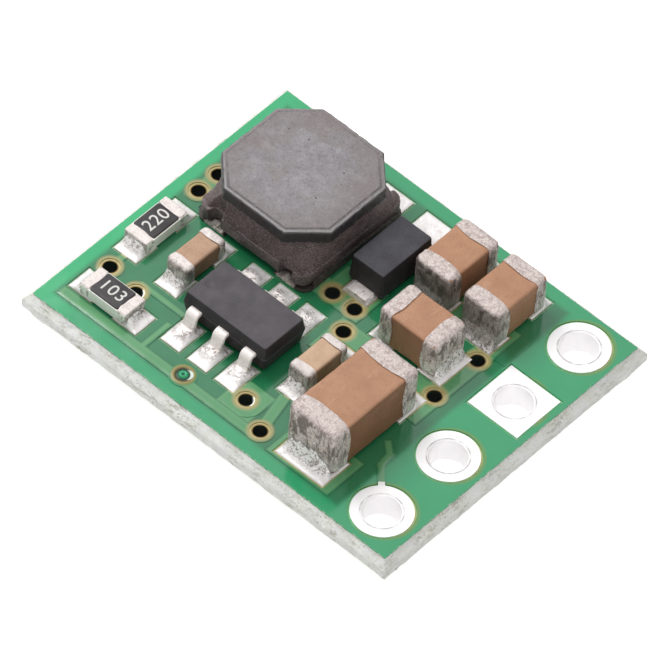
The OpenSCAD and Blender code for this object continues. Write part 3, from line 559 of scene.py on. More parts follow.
def ground_ferrite():
    """Ferrite core. The upper flange is ground: a clouded, finely freckled grey with warm patches, and painted shade
    that makes the warm tone grow to the right. On the two near sides its worn bevel has painted shade in a soft dark
    line inside it and at its outer edge, and a painted highlight along it; its side wall is painted dark as shade.
    The lower flange is as it was fired: brown-grey and sandy."""
    f = Finish("ground ferrite", Roughness=0.5, Specular_IOR_Level=0.4)
    mottle = f.noise(0.45, detail=7, rough=0.68, warp=0.3)
    warm = f.between(f.noise(1.2, detail=5, warp=0.5), 0.46, 0.62)
    grain = f.noise(0.055, detail=4, rough=0.7)
    pits = f.times(f.fall(f.cells(0.26), 0.05, 0.11), f.between(f.noise(0.5), 0.48, 0.54))
    up = f.between(f.up(), 0.5, 0.95)
    rim = ferrite_rim(f)
    x, y, z = f.axes()
    f.tone = f.ramp(mottle, (0.32, (128, 124, 128)), (0.46, (143, 139, 143)),
                    (0.58, (155, 151, 155)), (0.72, (168, 165, 169)))
    # painted shade: the warm tone grows to the right
    right = f.between(f.plus(x, f.times(mottle, 1.2)), -2.3, -0.6, 0.2, 1.0)
    f.paint((132, 120, 114), f.math("MAXIMUM", warm, f.times(right, 0.7)), 0.5)
    f.paint((126, 116, 114), f.between(f.plus(rim, f.times(warm, 0.15)), -0.95, -0.1, 0.0, 0.5))
    f.paint((100, 92, 92), f.between(f.noise(0.11, detail=4, rough=0.6), 0.54, 0.66, 0.0, 0.4))
    f.paint((88, 80, 82), f.between(f.noise(0.05, detail=2), 0.62, 0.68, 0.0, 0.6))
    # painted shade: a near black side wall
    f.tone = f.mix(up, f.cloudy(grain, (20, 18, 20), (52, 47, 49)), f.tone)
    # painted highlight and painted shade in lines along the bevel, on the two near sides
    high = f.between(z, IND_TOP - 0.07, IND_TOP - 0.05)
    near = f.between(f.less(f.less(x, IND[0]), f.less(y, IND[1])), -1.6, 1.2, 0.15, 1.0)
    frayed = f.times(f.between(f.noise(0.2, detail=4), 0.34, 0.52, 0.35, 1.0), near, high)
    f.paint((74, 70, 73), f.band(rim, -0.19, -0.15, -0.13, -0.09), frayed, 0.75)
    f.paint((70, 66, 68), f.between(rim, -0.045, -0.02, 0.0, 0.7), frayed)
    f.paint((160, 157, 159), f.band(rim, -0.085, -0.065, -0.045, -0.025), frayed)
    # grains and pits over all, and the fired foot
    f.paint((190, 184, 186), f.between(grain, 0.56, 0.72, 0.0, 0.45), up)
    f.paint((86, 80, 82), f.fall(grain, 0.3, 0.43, 0.5))
    f.paint((48, 44, 46), pits, 0.85)
    f.paint(sandy(f), f.fall(z, FLANGE_LOW - 0.1, FLANGE_LOW - 0.04))
    return f.done((mottle, 0.012), (grain, 0.016), (pits, -0.02), rough=f.between(mottle, 0.3, 0.7, 0.4, 0.6))


def sandy(f):
    """Colour of ferrite powder: brown-grey with fine pale and dark grains, and painted shade that darkens it low down.
    """
    sand = f.noise(0.036, detail=3, rough=0.7)
    base = f.cloudy(f.noise(0.35, detail=4), (88, 76, 75), (120, 106, 105))
    colour = f.mix(f.between(sand, 0.52, 0.62, 0.0, 0.55), base, (166, 152, 150))
    colour = f.mix(f.fall(sand, 0.38, 0.48, 0.65), colour, (50, 40, 40))
    # painted shade: darker towards the bottom
    return f.mix(f.fall(f.axes()[2], BASE_LOW + 0.1, BASE_HIGH + 0.1, 0.5), colour, (40, 34, 34))


def winding_resin():
    """Resin filled with ferrite powder, rough like fine sandstone."""
    f = Finish("winding resin", Roughness=0.62, Specular_IOR_Level=0.3)
    f.tone = sandy(f)
    return f.done((f.noise(0.3, detail=4), 0.02), (f.noise(0.036, detail=3, rough=0.7), 0.018))


def moulding(name, low, high):
    """Moulded black epoxy: grey and satin on its faces, painted near black as shade on its drawn sides, with fine
    filler showing and faint cloudy wear."""
    f = Finish(name, IOR=1.5, Specular_IOR_Level=0.28)
    filler = f.noise(0.035, detail=3)
    cloud = f.noise(0.5, detail=5)
    # painted shade: near black except on the faces that look up
    f.tone = f.cloudy(cloud, (32, 29, 32), (46, 42, 44))
    f.paint(f.cloudy(cloud, low, high), f.between(f.up(), 0.35, 0.9))
    f.paint((116, 112, 116), f.between(filler, 0.56, 0.72, 0.0, 0.3))
    f.paint((40, 38, 42), f.fall(filler, 0.32, 0.42, 0.45))
    return f.done((cloud, 0.008), (filler, 0.008), rough=f.between(filler, 0.3, 0.7, 0.42, 0.6))


def glassy_overcoat():
    """Dark glass over a resistor's film, with a few pale grains."""
    f = Finish("glass overcoat", Roughness=0.4, Specular_IOR_Level=0.35)
    cloud = f.noise(0.3, detail=3)
    grain = f.noise(0.03, detail=2)
    f.tone = f.cloudy(cloud, (36, 32, 35), (52, 47, 50))
    f.paint((92, 86, 88), f.between(grain, 0.58, 0.72, 0.0, 0.3))
    return f.done((cloud, 0.012), (grain, 0.003))


WIRE = plain("enamelled wire", 0.3, (186, 90, 36), (222, 128, 62), 0.08, 0.004,
             Metallic=0.6, Roughness=0.3, Coat_Weight=0.6)
FIGURE = plain("printed figure", 0.06, (206, 204, 200), (232, 230, 226), 0.03, 0.003, Roughness=0.6)
DARK_MOULD = moulding("blue black epoxy", (56, 54, 60), (74, 73, 80))
BROWNS = (195, 148, 117), (182, 135, 106), (126, 84, 62)
DEEP_BROWN = chip_ceramic("deep brown ceramic", *BROWNS, side=0.78)
SAND = chip_ceramic("sand ceramic", (219, 188, 158), (206, 171, 141), (150, 112, 84))

# The finish of each material slot; pieces that differ name their own
BY_SLOT = {
    "laminate": glass_laminate(),
    "copper": bare_copper(),
    "solder_mask": green_mask(),
    "tinned_copper": bright_tin(),
    "solder": flowed_solder(),
    "metal_end": fired_metal(),
    "ferrite": ground_ferrite(),
    "resin": winding_resin(),
    "mould": moulding("moulded epoxy", (74, 70, 75), (92, 88, 92)),
    "alumina": plain("white alumina", 0.1, (236, 234, 226), (250, 249, 243), 0.04, 0.004, Roughness=0.5),
    "resistive_film": plain("resistive film", 0.1, (44, 40, 40), (60, 56, 54), 0.06, 0.004, Roughness=0.6),
    "overcoat": glassy_overcoat(),
    "large_capacitor_ceramic": chip_ceramic("brown ceramic", *BROWNS, side=0.4),
    "small_capacitor_ceramic": chip_ceramic("tan ceramic", (197, 163, 137), (184, 147, 121), (136, 100, 76)),
}


# ------------------------------------------------------------ mesh making


def outline(corners, radius, arc=5, fill=4):
    """Points round a polygon, anticlockwise, with each corner turned on its radius.

    Each corner is `arc` steps of its arc and each straight has `fill` more points."""
    corners = np.array(corners, float)
    radius = np.broadcast_to(np.asarray(radius, float), len(corners))
    before = corners - np.roll(corners, 1, 0)
    before /= np.linalg.norm(before, axis=1)[:, None]
    after = np.roll(before, -1, 0)
    turn = np.arctan2(before[:, 0] * after[:, 1] - before[:, 1] * after[:, 0], (before * after).sum(1))
    left = np.stack([-before[:, 1], before[:, 0]], 1)
    bend = (np.sign(turn) * radius)[:, None]
    centre = corners - before * (radius * np.tan(abs(turn) / 2))[:, None] + left * bend
    way = np.arctan2(before[:, 1], before[:, 0])[:, None] + turn[:, None] * np.linspace(0, 1, arc + 1)
    bends = centre[:, None] + np.stack([np.sin(way), -np.cos(way)], 2) * bend[:, None]
    share = np.linspace(0, 1, fill + 2)[1:-1, None]
    straights = bends[:, -1:] * (1 - share) + np.roll(bends[:, :1], -1, 0) * share
    return np.concatenate([bends, straights], 1).reshape(-1, 2)


def rectangle(size, radius, arc=5, fill=4):
    a, b = np.array(size) / 2
    return outline([(a, -b), (a, b), (-a, b), (-a, -b)], radius, arc, fill)


def octagon(flats, cut, radius, arc, fill):
    """A square with its corners cut: the cut is measured along each side."""
    a, b = flats / 2, flats / 2 - cut
    corners = [(b, -a), (a, -b), (a, b), (b, a), (-b, a), (-a, b), (-a, -b), (-b, -a)]
    return outline(corners, radius, arc, fill)


def circle(count):
    angle = np.linspace(0, 2 * np.pi, count, endpoint=False)
    return np.stack([np.cos(angle), np.sin(angle)], 1)


def at_height(points, z):
    return np.concatenate([points, np.full((len(points), 1), float(z))], 1)


def grid_faces(rows, columns, wrap=True):
    """Quads between neighbouring rows of a grid; wrap joins the last column to the first."""
    i = np.arange(rows - 1)[:, None] * columns
    j = np.arange(columns if wrap else columns - 1)[None]
    k = (j + 1) % columns
    return np.stack([i + j, i + k, i + k + columns, i + j + columns], 2).reshape(-1, 4)


def loft(rings, cap=6):
    """A closed skin through a pile of equal rings. Each end closes with `cap` rings that shrink to its middle."""
    rings = np.array(rings, float)
    shrink = np.linspace(1, 0, cap + 1)[1:, None, None]
    low, high = (ring.mean(0) + (ring - ring.mean(0)) * shrink for ring in (rings[0], rings[-1]))
    pile = np.concatenate([low[::-1], rings, high])
    return pile.reshape(-1, 3), grid_faces(*pile.shape[:2])


def rounding(radius, steps=5):
    """Quarter turn of an edge, as (height above the start, distance in from the wall)."""
    a = np.linspace(0, math.pi / 2, steps + 1)
    return np.stack([radius * np.sin(a), radius * (1 - np.cos(a))], 1)


def ripple(points, size, seed):
    """Smooth random waves of about `size` millimetres, between about -1 and 1: sines in random directions, added."""
    draw = np.random.default_rng(seed)
    way = draw.normal(size=(18, 3))
    way *= (draw.uniform(0.6, 1.8, 18) / np.linalg.norm(way, axis=1))[:, None]
    phase = draw.uniform(0, 2 * np.pi, 18)
    return np.sin(points @ way.T * (2 * np.pi / size) + phase).sum(-1) / 4.2


def ripples(points, *waves):
    """Sum of ripples, each given as (height, size, seed)."""
    return sum(height * ripple(points, size, seed) for height, size, seed in waves)


def push_out(points, middle, axis, amount):
    """Moves points straight away from an axis through `middle`, each by its own amount."""
    way = points - middle
    way[..., axis] = 0
    points += way / np.linalg.norm(way, axis=-1, keepdims=True) * amount[..., None]


def piece(name, shells, slot, replaced=(), sharp=40, finish=None):
    """One Blender object from one or more skins, in millimetres, riding on the board."""
    start = np.cumsum([0] + [len(points) for points, _ in shells])
    points = np.concatenate([points for points, _ in shells]) * MM
    faces = np.concatenate([faces + first for (_, faces), first in zip(shells, start)])
    mesh = bpy.data.meshes.new(name)
    mesh.from_pydata(points.tolist(), [], faces.tolist())
    work = bmesh.new()
    work.from_mesh(mesh)
    bmesh.ops.remove_doubles(work, verts=work.verts, dist=2e-8)
    bmesh.ops.recalc_face_normals(work, faces=work.faces)
    work.to_mesh(mesh)
    work.free()
    dress(name, mesh, slot, replaced, sharp, finish)


def add(name, data, place=None):
    obj = bpy.data.objects.new(name, data)
    bpy.context.scene.collection.objects.link(obj)
    if place:
        obj.matrix_world = place
    return obj


def dress(name, mesh, slot, replaced=(), sharp=40, finish=None):
    """Adds a mesh as a piece of the board. Edges over `sharp` degrees stay sharp; its slot gives its finish."""
    mesh.shade_smooth()
    mesh.set_sharp_from_angle(angle=math.radians(sharp))
    mesh.materials.clear()
    mesh.materials.append(finish or BY_SLOT[slot])
    obj = add(name, mesh)
    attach(obj, BODY)
    if replaced:
        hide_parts(*replaced)


# ------------------------------------------------------------------ chips


class Chip:
    """Where a chip lies: its box, which way it runs, and how to turn a shape made along +X on to it."""

    def __init__(self, name, ends):
        nodes = [f"{name}_end_{e}" for e in ends]
        low, high = span(*nodes)
        end_low, end_high = span(nodes[0])
        self.along = 0 if ends[0] == "left" else 1
        self.length, self.width = (high - low)[[self.along, 1 - self.along]]
        self.height = (high - low)[2]
        self.band = (end_high - end_low)[self.along]
        self.middle = (low + high) / 2
        self.foot = low[2]
        self.ends = dict(zip(ends, (-1, 1)))
        self.up = np.array([0, self.height / 2])

    def lay(self, points):
        """From the chip's own frame (length on X, foot at 0) to the board's."""
        x, y, z = points[..., 0], points[..., 1], points[..., 2]
        flat = (x, y) if self.along == 0 else (-y, x)
        return np.stack([flat[0] + self.middle[0], flat[1] + self.middle[1], z + self.foot], -1)


def upright(section, x):
    """Stands a section in the YZ plane at x."""
    return np.stack([np.broadcast_to(x, section[:, 0].shape), section[:, 0], section[:, 1]], 1)


def chip_body(chip, seed, radius=0.09):
    """Ceramic block: rounded section along the length, set in by the metal's thickness, with soft unevenness."""
    section = np.array([chip.width, chip.height]) - 2 * END_T
    flat = chip.length / 2 - END_T - radius
    turn = rounding(radius)
    stations = [(-flat - a, b) for a, b in turn[::-1]]
    stations += [(x, 0) for x in np.linspace(-flat, flat, 14)[1:-1]] + [(flat + a, b) for a, b in turn]
    rings = np.array([upright(rectangle(section - 2 * b, radius, 5, 5) + chip.up, x) for x, b in stations])
    rings[..., 1:] += ripple(rings, 0.9, seed)[..., None] * 0.006 * np.sign(rings[..., 1:] - chip.up)
    return chip.lay(rings)


def metal_end(chip, side, radius, seed):
    """Metal end: a rounded cup over the chip's end whose lip bows out on each face and wanders a little."""
    size = np.array([chip.width, chip.height])
    section = rectangle(size, radius, 6, 8)
    flat = chip.length / 2 - radius
    off_middle = (abs(section) / size).min(1) * 2
    lip = chip.length / 2 - chip.band - 0.06 * chip.width * (1 - off_middle ** 2) + 0.03
    lip -= ripple(upright(section, 0.0), 0.8, seed) * 0.012
    rings = [upright(section * (1 - END_T / size * 2.4) + chip.up, lip + 0.02),
             upright(section * 0.995 + chip.up, lip), upright(section + chip.up, lip + 0.02)]
    rings += [upright(section + chip.up, (lip + 0.03) * (1 - t) + flat * t) for t in np.linspace(0, 1, 7)[1:]]
    rings += [upright(rectangle(size - 2 * b, max(radius - 0.7 * b, 0.02), 6, 8) + chip.up, flat + a)
              for a, b in rounding(radius, 6)[1:]]
    rings = np.array(rings)
    push_out(rings, [0, *chip.up], 0, ripples(rings, (0.008, 0.45, seed + 1), (0.004, 0.16, seed + 2)))
    rings[..., 0] *= side
    return chip.lay(rings)


def solder_sheet(x0, y0, x1, y1, climb, seed, rim=0.09, cells=0.05):
    """Solder over a pad: a sheet that rounds down at its rim, waves a little, and climbs what stands on it by
    climb(x, y). It closes underneath with the same grid, flat on the pad and turned over."""
    counts = [max(int((b - a) / cells), 10) for a, b in ((x0, x1), (y0, y1))]
    spread = [a + (b - a) * (0.5 - 0.5 * np.cos(np.linspace(0, np.pi, n + 1)))
              for a, b, n in zip((x0, y0), (x1, y1), counts)]
    x, y = np.meshgrid(*spread, indexing="ij")
    d = np.minimum.reduce([x - x0, x1 - x, y - y0, y1 - y])
    edge = np.sqrt(np.clip(1 - (1 - np.clip(d / rim, 0, 1)) ** 2, 0, 1))
    top = np.stack([x, y, np.zeros_like(x)], -1)
    wave = 1 + 0.25 * ripple(top, 0.5, seed)
    lumps = 1 + np.clip(ripples(top, (0.14, 0.3, seed + 1), (0.1, 0.13, seed + 2)), -0.35, 0.35)
    foot = top + [0, 0, PAD_Z]
    top[..., 2] = PAD_Z + edge * (SOLDER_T * wave * 1.3 + climb(x, y) * lumps)
    faces = grid_faces(*x.shape, wrap=False)
    return [(top.reshape(-1, 3), faces), (foot.reshape(-1, 3), faces[:, ::-1])]


def chip_solder(chip, toe, rise, seed):
    """Solder on a chip's two pads, which climbs its end faces and hollows out to the pads' toes."""
    def climb(x, y, side):
        u, v = np.stack([x, y])[[chip.along, 1 - chip.along]]
        out = (u - chip.middle[chip.along]) * side - chip.length / 2
        hollow = np.clip(1 - out / (toe * 0.95), 0, 1) ** 2.4
        across = abs(v - chip.middle[1 - chip.along]) / (chip.width / 2)
        return np.where(out > -0.04, rise * hollow * (1 - np.clip(across, 0, 1) ** 5), 0.0)

    shells = []
    for k, side in enumerate((-1, 1)):
        u = sorted([side * (chip.length / 2 - chip.band - PAD_HEEL), side * (chip.length / 2 + toe)])
        v = [-chip.width / 2, chip.width / 2]
        (x0, x1), (y0, y1) = (u, v) if chip.along == 0 else (v, u)
        cx, cy = chip.middle[:2]
        shells += solder_sheet(cx + x0, cy + y0, cx + x1, cy + y1,
                               lambda x, y: climb(x, y, side), seed + 10 * k)
    return shells


chip_sheets = {}
for i, (name, (ends, toe, rise)) in enumerate(CHIPS.items()):
    chip = Chip(name, ends)
    chip_sheets[name] = chip_solder(chip, toe, rise, 100 + 31 * i)
    radius = 0.055 if "resistor" in name else min(0.17, 0.2 * chip.height)
    for end, side in chip.ends.items():
        node = f"{name}_end_{end}"
        piece(node + "_metal", [loft(metal_end(chip, side, radius, 40 * i + side + 1), cap=8)], "metal_end", [node])
    if "capacitor" in name:
        size = "small" if chip.length < SMALL_CHIP else "large"
        piece(f"{name}_block", [loft(chip_body(chip, 7 * i))], f"{size}_capacitor_ceramic", [f"{name}_body"],
              finish={"small_input_capacitor": SAND, "large_input_capacitor": DEEP_BROWN}.get(name))


def solder(kind, shells):
    piece(f"solder_{kind}_flow", shells, "solder", [f"solder_{kind}"], sharp=60)


for kind, names in {
        "resistors": ("left_resistor", "front_resistor"),
        "input_capacitors": ("boost_capacitor", "small_input_capacitor", "large_input_capacitor"),
        "output_capacitors": ("output_capacitor_1", "output_capacitor_2", "output_capacitor_3"),
}.items():
    solder(kind, sum((chip_sheets[n] for n in names), []))


# ------------------------------------------------- moulded parts and leads


def moulded_body(low, high, part, draft, roll, corner, cap, fill):
    """A moulding: at each level a rectangle with round corners, widest at its parting line.

    The sides draw in by `draft` from the parting line to each face, and the edges of both faces roll over."""
    size, middle = (high - low)[:2], (low + high)[:2] / 2
    turn = rounding(roll)
    levels = [(low[2] + roll - a, b) for a, b in turn[::-1]]
    levels += [(part - 0.012, 0.006), (part - 0.006, 0.0), (part + 0.006, 0.0), (part + 0.012, 0.006)]
    levels += [(high[2] - roll + a, b) for a, b in turn]
    rings = []
    for z, b in levels:
        face = high[2] if z > part else low[2]
        inset = draft * (z - part) / (face - part) + b
        rings.append(at_height(rectangle(size - 2 * inset, corner, 5, fill) + middle, z))
    return loft(rings, cap)


def dent(points, centre, radius, depth):
    """Lowers the points within a circle: flat in its middle, with a smooth wall."""
    away = np.hypot(points[:, 0] - centre[0], points[:, 1] - centre[1]) / radius
    share = np.clip((1.25 - away) / 0.5, 0, 1)
    near = points[:, 2] > centre[2] - depth
    points[:, 2] -= near * depth * share * share * (3 - 2 * share)


def strip(path, width, thickness, edge, side, at, narrowing=0.0):
    """A formed strip: a rectangle with round edges carried along a path of (out, height) points.

    Each section stands square to the path. `side` is +1 or -1 along Y, `at` is the (x, y) that out is measured from,
    and `narrowing` is the share of its width that the strip loses by its end."""
    path = np.array(path, float)
    way = np.gradient(path, axis=0)
    way /= np.linalg.norm(way, axis=1)[:, None]
    x, lift = rectangle((width, thickness), edge, 3, 3).T
    across = x * (1 - narrowing * np.linspace(0, 1, len(path))[:, None])
    out = path[:, :1] - way[:, 1:] * lift
    high = path[:, 1:] + way[:, :1] * lift
    return loft(np.stack([at[0] + across, at[1] + side * out, high], 2), 3)


def arc_path(centre, radius, start, end, count=9):
    a = np.radians(np.linspace(start, end, count))
    return [(centre[0] + radius * math.cos(t), centre[1] + radius * math.sin(t)) for t in a]


def gull_wing(body_edge, shoulder_z, foot_z, tip, bend, angle):
    """Middle line of a lead: level out of the body, down a leg at `angle`, then level along its foot."""
    t = math.radians(angle)
    drop = shoulder_z - foot_z - 2 * bend * (1 - math.cos(t))
    run = 2 * bend * math.sin(t) + drop / math.tan(t)
    first = body_edge + 0.05
    path = [(body_edge - 0.1, shoulder_z), (body_edge - 0.02, shoulder_z)]
    path += arc_path((first, shoulder_z - bend), bend, 90, 90 - angle)
    path += arc_path((first + run, foot_z + bend), bend, 270 - angle, 270)
    return path + [((first + run + tip) / 2, foot_z), (tip - 0.02, foot_z), (tip, foot_z)]


def foot_climb(x0, y0, x1, y1, rise, reach=0.3, heel=None):
    """Solder that climbs whatever stands on a rectangle and hollows out over its reach.

    `heel` is (x, y, radius, rise) of the heap behind a lead."""
    def climb(x, y):
        dx = np.maximum(np.maximum(x0 - x, x - x1), 0)
        dy = np.maximum(np.maximum(y0 - y, y - y1), 0)
        z = rise * np.clip(1 - np.hypot(dx, dy) / reach, 0, 1) ** 1.7
        if heel:
            z = np.maximum(z, heel[3] * np.exp(-((x - heel[0]) ** 2 + (y - heel[1]) ** 2) / heel[2] ** 2))
        return z
    return climb


def outward(middle, side, near, far):
    """The two ends of a stretch that runs outward from a middle, lowest first."""
    return sorted([middle + side * near, middle + side * far])


low, high = span("regulator_body")
reg_x, reg_y = (low + high)[:2] / 2
part_z = low[2] + 0.55 * (high[2] - low[2]) - 0.005
points, faces = moulded_body(low, high, part_z, draft=0.07, roll=0.035, corner=0.08, cap=40, fill=40)
dent(points, (low[0] + DOT_X, reg_y + DOT_Y, high[2]), DOT_R, DOT_DEPTH)
piece("regulator_moulding", [(points, faces)], "mould", ["regulator_body"])

lead_path = gull_wing(LEAD_ROOT, part_z, SEAT + LEAD_T / 2, LEAD_TIP, LEAD_BEND, LEAD_ANGLE)
foot_in = lead_path[-4][0]
shells = []
for number in range(1, 7):
    side = -1 if number <= 3 else 1
    x = reg_x + LEAD_PITCH * (number - 2 if number <= 3 else 5 - number)
    piece(f"regulator_lead_{number}_formed",
          [strip(lead_path, LEAD_W, LEAD_T, 0.035, side, (x, reg_y), narrowing=0.03)],
          "tinned_copper", [f"regulator_lead_{number}"], sharp=50)
    y_pad, y_foot = outward(reg_y, side, *LEAD_PAD), outward(reg_y, side, foot_in, LEAD_TIP)
    heel = (x, reg_y + side * (foot_in - 0.1), 0.2, 0.16 if side < 0 else 0.22)
    climb = foot_climb(x - LEAD_W / 2, y_foot[0], x + LEAD_W / 2, y_foot[1], LEAD_T - 0.004, heel=heel)
    shells += solder_sheet(x - LEAD_PAD_HALF, y_pad[0], x + LEAD_PAD_HALF, y_pad[1], climb, 300 + 9 * number)
solder("regulator", shells)

low, high = span("diode_body")
diode_x, diode_y = (low + high)[:2] / 2
piece("diode_moulding",
      [moulded_body(low, high, SEAT + 0.18, draft=0.05, roll=0.03, corner=0.06, cap=12, fill=16)],
      "mould", ["diode_body"], finish=DARK_MOULD)

shells = []
for end, side in (("front", -1), ("rear", 1)):
    tab_low, tab_high = span(f"diode_tab_{end}")
    reach = abs((tab_high if side > 0 else tab_low)[1] - diode_y)
    path = [(reach - back, (tab_low[2] + tab_high[2]) / 2) for back in (0.6, 0.3, 0.1, 0.02, 0)]
    piece(f"diode_tab_{end}_formed", [strip(path, TAB_W, TAB_T, 0.04, side, (diode_x, diode_y))],
          "tinned_copper", [f"diode_tab_{end}"], sharp=50)
    y_foot = outward(diode_y, side, reach - 0.3, reach)
    climb = foot_climb(diode_x - TAB_W / 2, y_foot[0], diode_x + TAB_W / 2, y_foot[1], 0.13)
    half, near, far = DIODE_PADS[side]
    y_pad = outward(diode_y, side, near, far)
    pad_x = diode_x - 0.02
    shells += solder_sheet(pad_x - half, y_pad[0], pad_x + half, y_pad[1], climb, 410 + side)
solder("diode", shells)


# ---------------------------------------------------------------- inductor


def reach_of(way, half, corner, power):
    """Distance from the middle to a square with cut corners, along each unit direction.

    It is the soft minimum of the distances to its four pairs of sides. A higher power makes sharper corners."""
    c, s = way.T
    sides = [c / half[0], s / half[1], (c + s) / (math.sqrt(2) * corner), (c - s) / (math.sqrt(2) * corner)]
    return sum(abs(v) ** power for v in sides) ** (-1 / power)


def skirt(count=420, rows=26):
    """Filled resin between the flanges: from the octagon under the upper flange it spreads to the lower flange,
    hollowing a little towards its foot, with a lumpy skin. The front left notch and the two rear ones stay clear."""
    way = circle(count)
    top = reach_of(way, half=(1.84, 1.84), corner=2.02, power=60)
    low = reach_of(way, half=(1.875, 1.945), corner=2.52, power=26)
    t = np.linspace(0, 1, rows)[:, None]
    radius = low + (top - low) * (1 - (1 - t) ** 1.35)
    z = BASE_HIGH - 0.01 + (FLANGE_LOW + 0.01 - BASE_HIGH) * t + 0 * radius
    pile = np.concatenate([radius[..., None] * way + IND, z[..., None]], 2)
    push_out(pile, [*IND, 0], 2, ripples(pile, (0.012, 0.5, 71), (0.007, 0.16, 72), (0.005, 0.07, 73)))
    for sx, sy in ((-1, -1), (-1, 1), (1, 1)):
        dx = pile[..., 0] - IND[0] - sx * NOTCH_X
        dy = sy * (pile[..., 1] - IND[1]) - 1.7
        inside = np.clip(1.15 - abs(dx) / 0.24, 0, 1) * np.clip(dy / 0.1, 0, 1)
        pile[..., 1] -= sy * np.clip(dy, 0, None) * np.clip(inside * 2.5, 0, 1)
    return loft(pile, 4)


def flange_outline(length, width, corner):
    """Lower flange: a rectangle with round corners and four half-round notches in its long sides."""
    a, b, n, r = length / 2, width / 2, NOTCH_X, NOTCH_R
    side = [(x + dx, y) for x in (-n, n) for dx, y in ((-r, 0), (-r, r), (r, r), (r, 0))]
    half = [(-a, -b)] + [(x, y - b) for x, y in side] + [(a, -b)]
    notch = [0.03, 0.18, 0.18, 0.03] * 2
    return outline(half + [(-x, -y) for x, y in half], ([corner] + notch + [corner]) * 2, 6, 5)


def lower_flange():
    """Ferrite plate with rolled edges, its foot drawn in by a wide bevel. Its faces run in to a plain rectangle
    first, so that the notches stay open."""
    whole = flange_outline(*BASE, 0.35)
    inner = np.clip(whole, [-1.6, -1.68], [1.6, 1.68])

    def grow(inset):
        return whole * (1 - 2 * inset / BASE)

    levels = [(BASE_LOW, inner)] + [(BASE_LOW + rise, grow(b)) for rise, b in ((0, 0.13), (0.05, 0.07), (0.1, 0.02))]
    levels += [(BASE_LOW * (1 - t) + BASE_HIGH * t, whole) for t in (0.3, 0.5, 0.7)]
    levels += [(BASE_HIGH - 0.04 + a, grow(b)) for a, b in rounding(0.04, 3)] + [(BASE_HIGH, inner)]
    rings = np.array([at_height(ring + IND, z) for z, ring in levels])
    wall = rings[1:-1]
    push_out(wall, [*IND, 0], 2, ripples(wall, (0.008, 0.3, 81), (0.004, 0.1, 82)))
    return loft(rings, 4)


def upper_flange():
    """Ground octagon: flat face, a fine sunk line, a worn bevel, and an upright side with small chips."""
    side = FLANGE_LOW + 0.02
    levels = [(FLANGE_LOW, 0.0)] + [(side + (FLANGE_T - BEVEL - 0.05) * t, 0.0) for t in (0, 0.25, 0.5, 0.75, 1)]
    bevel = [(1, 0.004), (0.75, 0.014), (0.4, 0.034), (0.1, 0.056)]
    face = [(0.002, 0.072), (0, 0.09), (0.003, 0.11), (0.014, 0.126), (0.014, 0.142), (0.003, 0.158), (0, 0.178),
            (0, 0.21)]
    levels += [(IND_TOP - share * BEVEL, b) for share, b in bevel] + [(IND_TOP - down, b) for down, b in face]
    rings = np.array([at_height(octagon(OCTAGON - 2 * b, OCTAGON_CUT - 0.586 * b, 0.07, 4, 34) + IND, z)
                      for z, b in levels])
    chips = np.clip(ripple(rings, 0.22, 91) - 0.45, 0, 1) * 0.03
    push_out(rings, [*IND, 0], 2, ripples(rings, (0.006, 0.6, 92), (0.003, 0.12, 93)) - chips)
    rings[6:, :, 2] += 0.004 * ripple(rings[6:], 0.7, 94)
    return loft(rings, 40)


def post():
    return loft([at_height(circle(48) * 0.9 + IND, z) for z in (BASE_HIGH - 0.02, FLANGE_LOW + 0.02)], 2)


piece("inductor_core_ground", [lower_flange(), post(), upper_flange()], "ferrite", ["inductor_core"], sharp=50)
piece("inductor_resin_skirt", [skirt()], "resin", ["inductor_resin_coat"], sharp=80)

# The two pads under the core, as (from x, to x, to y, seed) off its middle; both start at the same front edge
shells = []
for x0, x1, y1, seed in ((-1.995, -0.875, 1.65, 501), (0.875, 1.845, 2.415, 502)):
    shells += solder_sheet(IND[0] + x0, IND[1] - 1.65, IND[0] + x1, IND[1] + y1, lambda x, y: 0 * x, seed)
solder("inductor", shells)


# ------------------------------------------------------------------- board


def sawn_edge(seed=7):
    """Broken edge of the board: a closed band round it whose section is the scored V and the torn middle.

    Each row of the section is a rectangle round the board. The rows stand out and in by waves that are longer
    along the glass than across it, strongest on the torn middle and weak on the two far sides, which broke more
    cleanly."""
    low, high = span("printed_board_laminate")
    size, bottom, top = (high - low)[:2], low[2], high[2]
    # (how far out, height, strength of the waves)
    section = [(-0.34, top - 0.05, 0), (-0.27, top - 0.004, 0), (-0.215, top + 0.003, 0.15),
               (-0.19, top - 0.008, 0.35)]
    section += [(-0.2 + 0.2 * t, top - 0.21 * t, 0.35 + 0.35 * t) for t in (0.2, 0.4, 0.6, 0.8)]
    section += [(0.005, top - 0.215 - (top - bottom - 0.43) * t, 1.0) for t in np.linspace(0, 1, 9)]
    section += [(-0.2 + 0.2 * t, bottom + 0.21 * t, 0.35 + 0.35 * t) for t in (0.8, 0.6, 0.4, 0.2)]
    section += [(-0.19, bottom + 0.008, 0.3), (-0.215, bottom - 0.002, 0.1), (-0.27, bottom + 0.01, 0),
                (-0.34, bottom + 0.05, 0)]
    rows = np.array([at_height(rectangle(size + 2 * d, 0.045 + max(d, 0), 4, 260), z) for d, z, _ in section])
    out = np.sign(rows) * (abs(rows) > [*(size / 2 - 0.35), np.inf])
    out /= np.maximum(np.linalg.norm(out, axis=-1, keepdims=True), 1)
    along = rows * [0.5, 0.5, 1.4]
    waves = (ripples(along, (0.012, 0.6, seed), (0.008, 0.17, seed + 1))
             + 0.008 * ripple(rows * [1, 1, 0.6], 0.08, seed + 2))
    clean = np.where((rows[..., 0] < low[0] + 0.3) | (rows[..., 1] > high[1] - 0.3), 0.3, 1.0)
    clean *= np.array([w for _, _, w in section])[:, None]
    rows += out * (clean * waves)[..., None]
    rows[..., 2] += clean * 0.008 * ripple(along, 0.3, seed + 3)
    rows = np.concatenate([rows, rows[:1]])
    return rows.reshape(-1, 3), grid_faces(*rows.shape[:2])


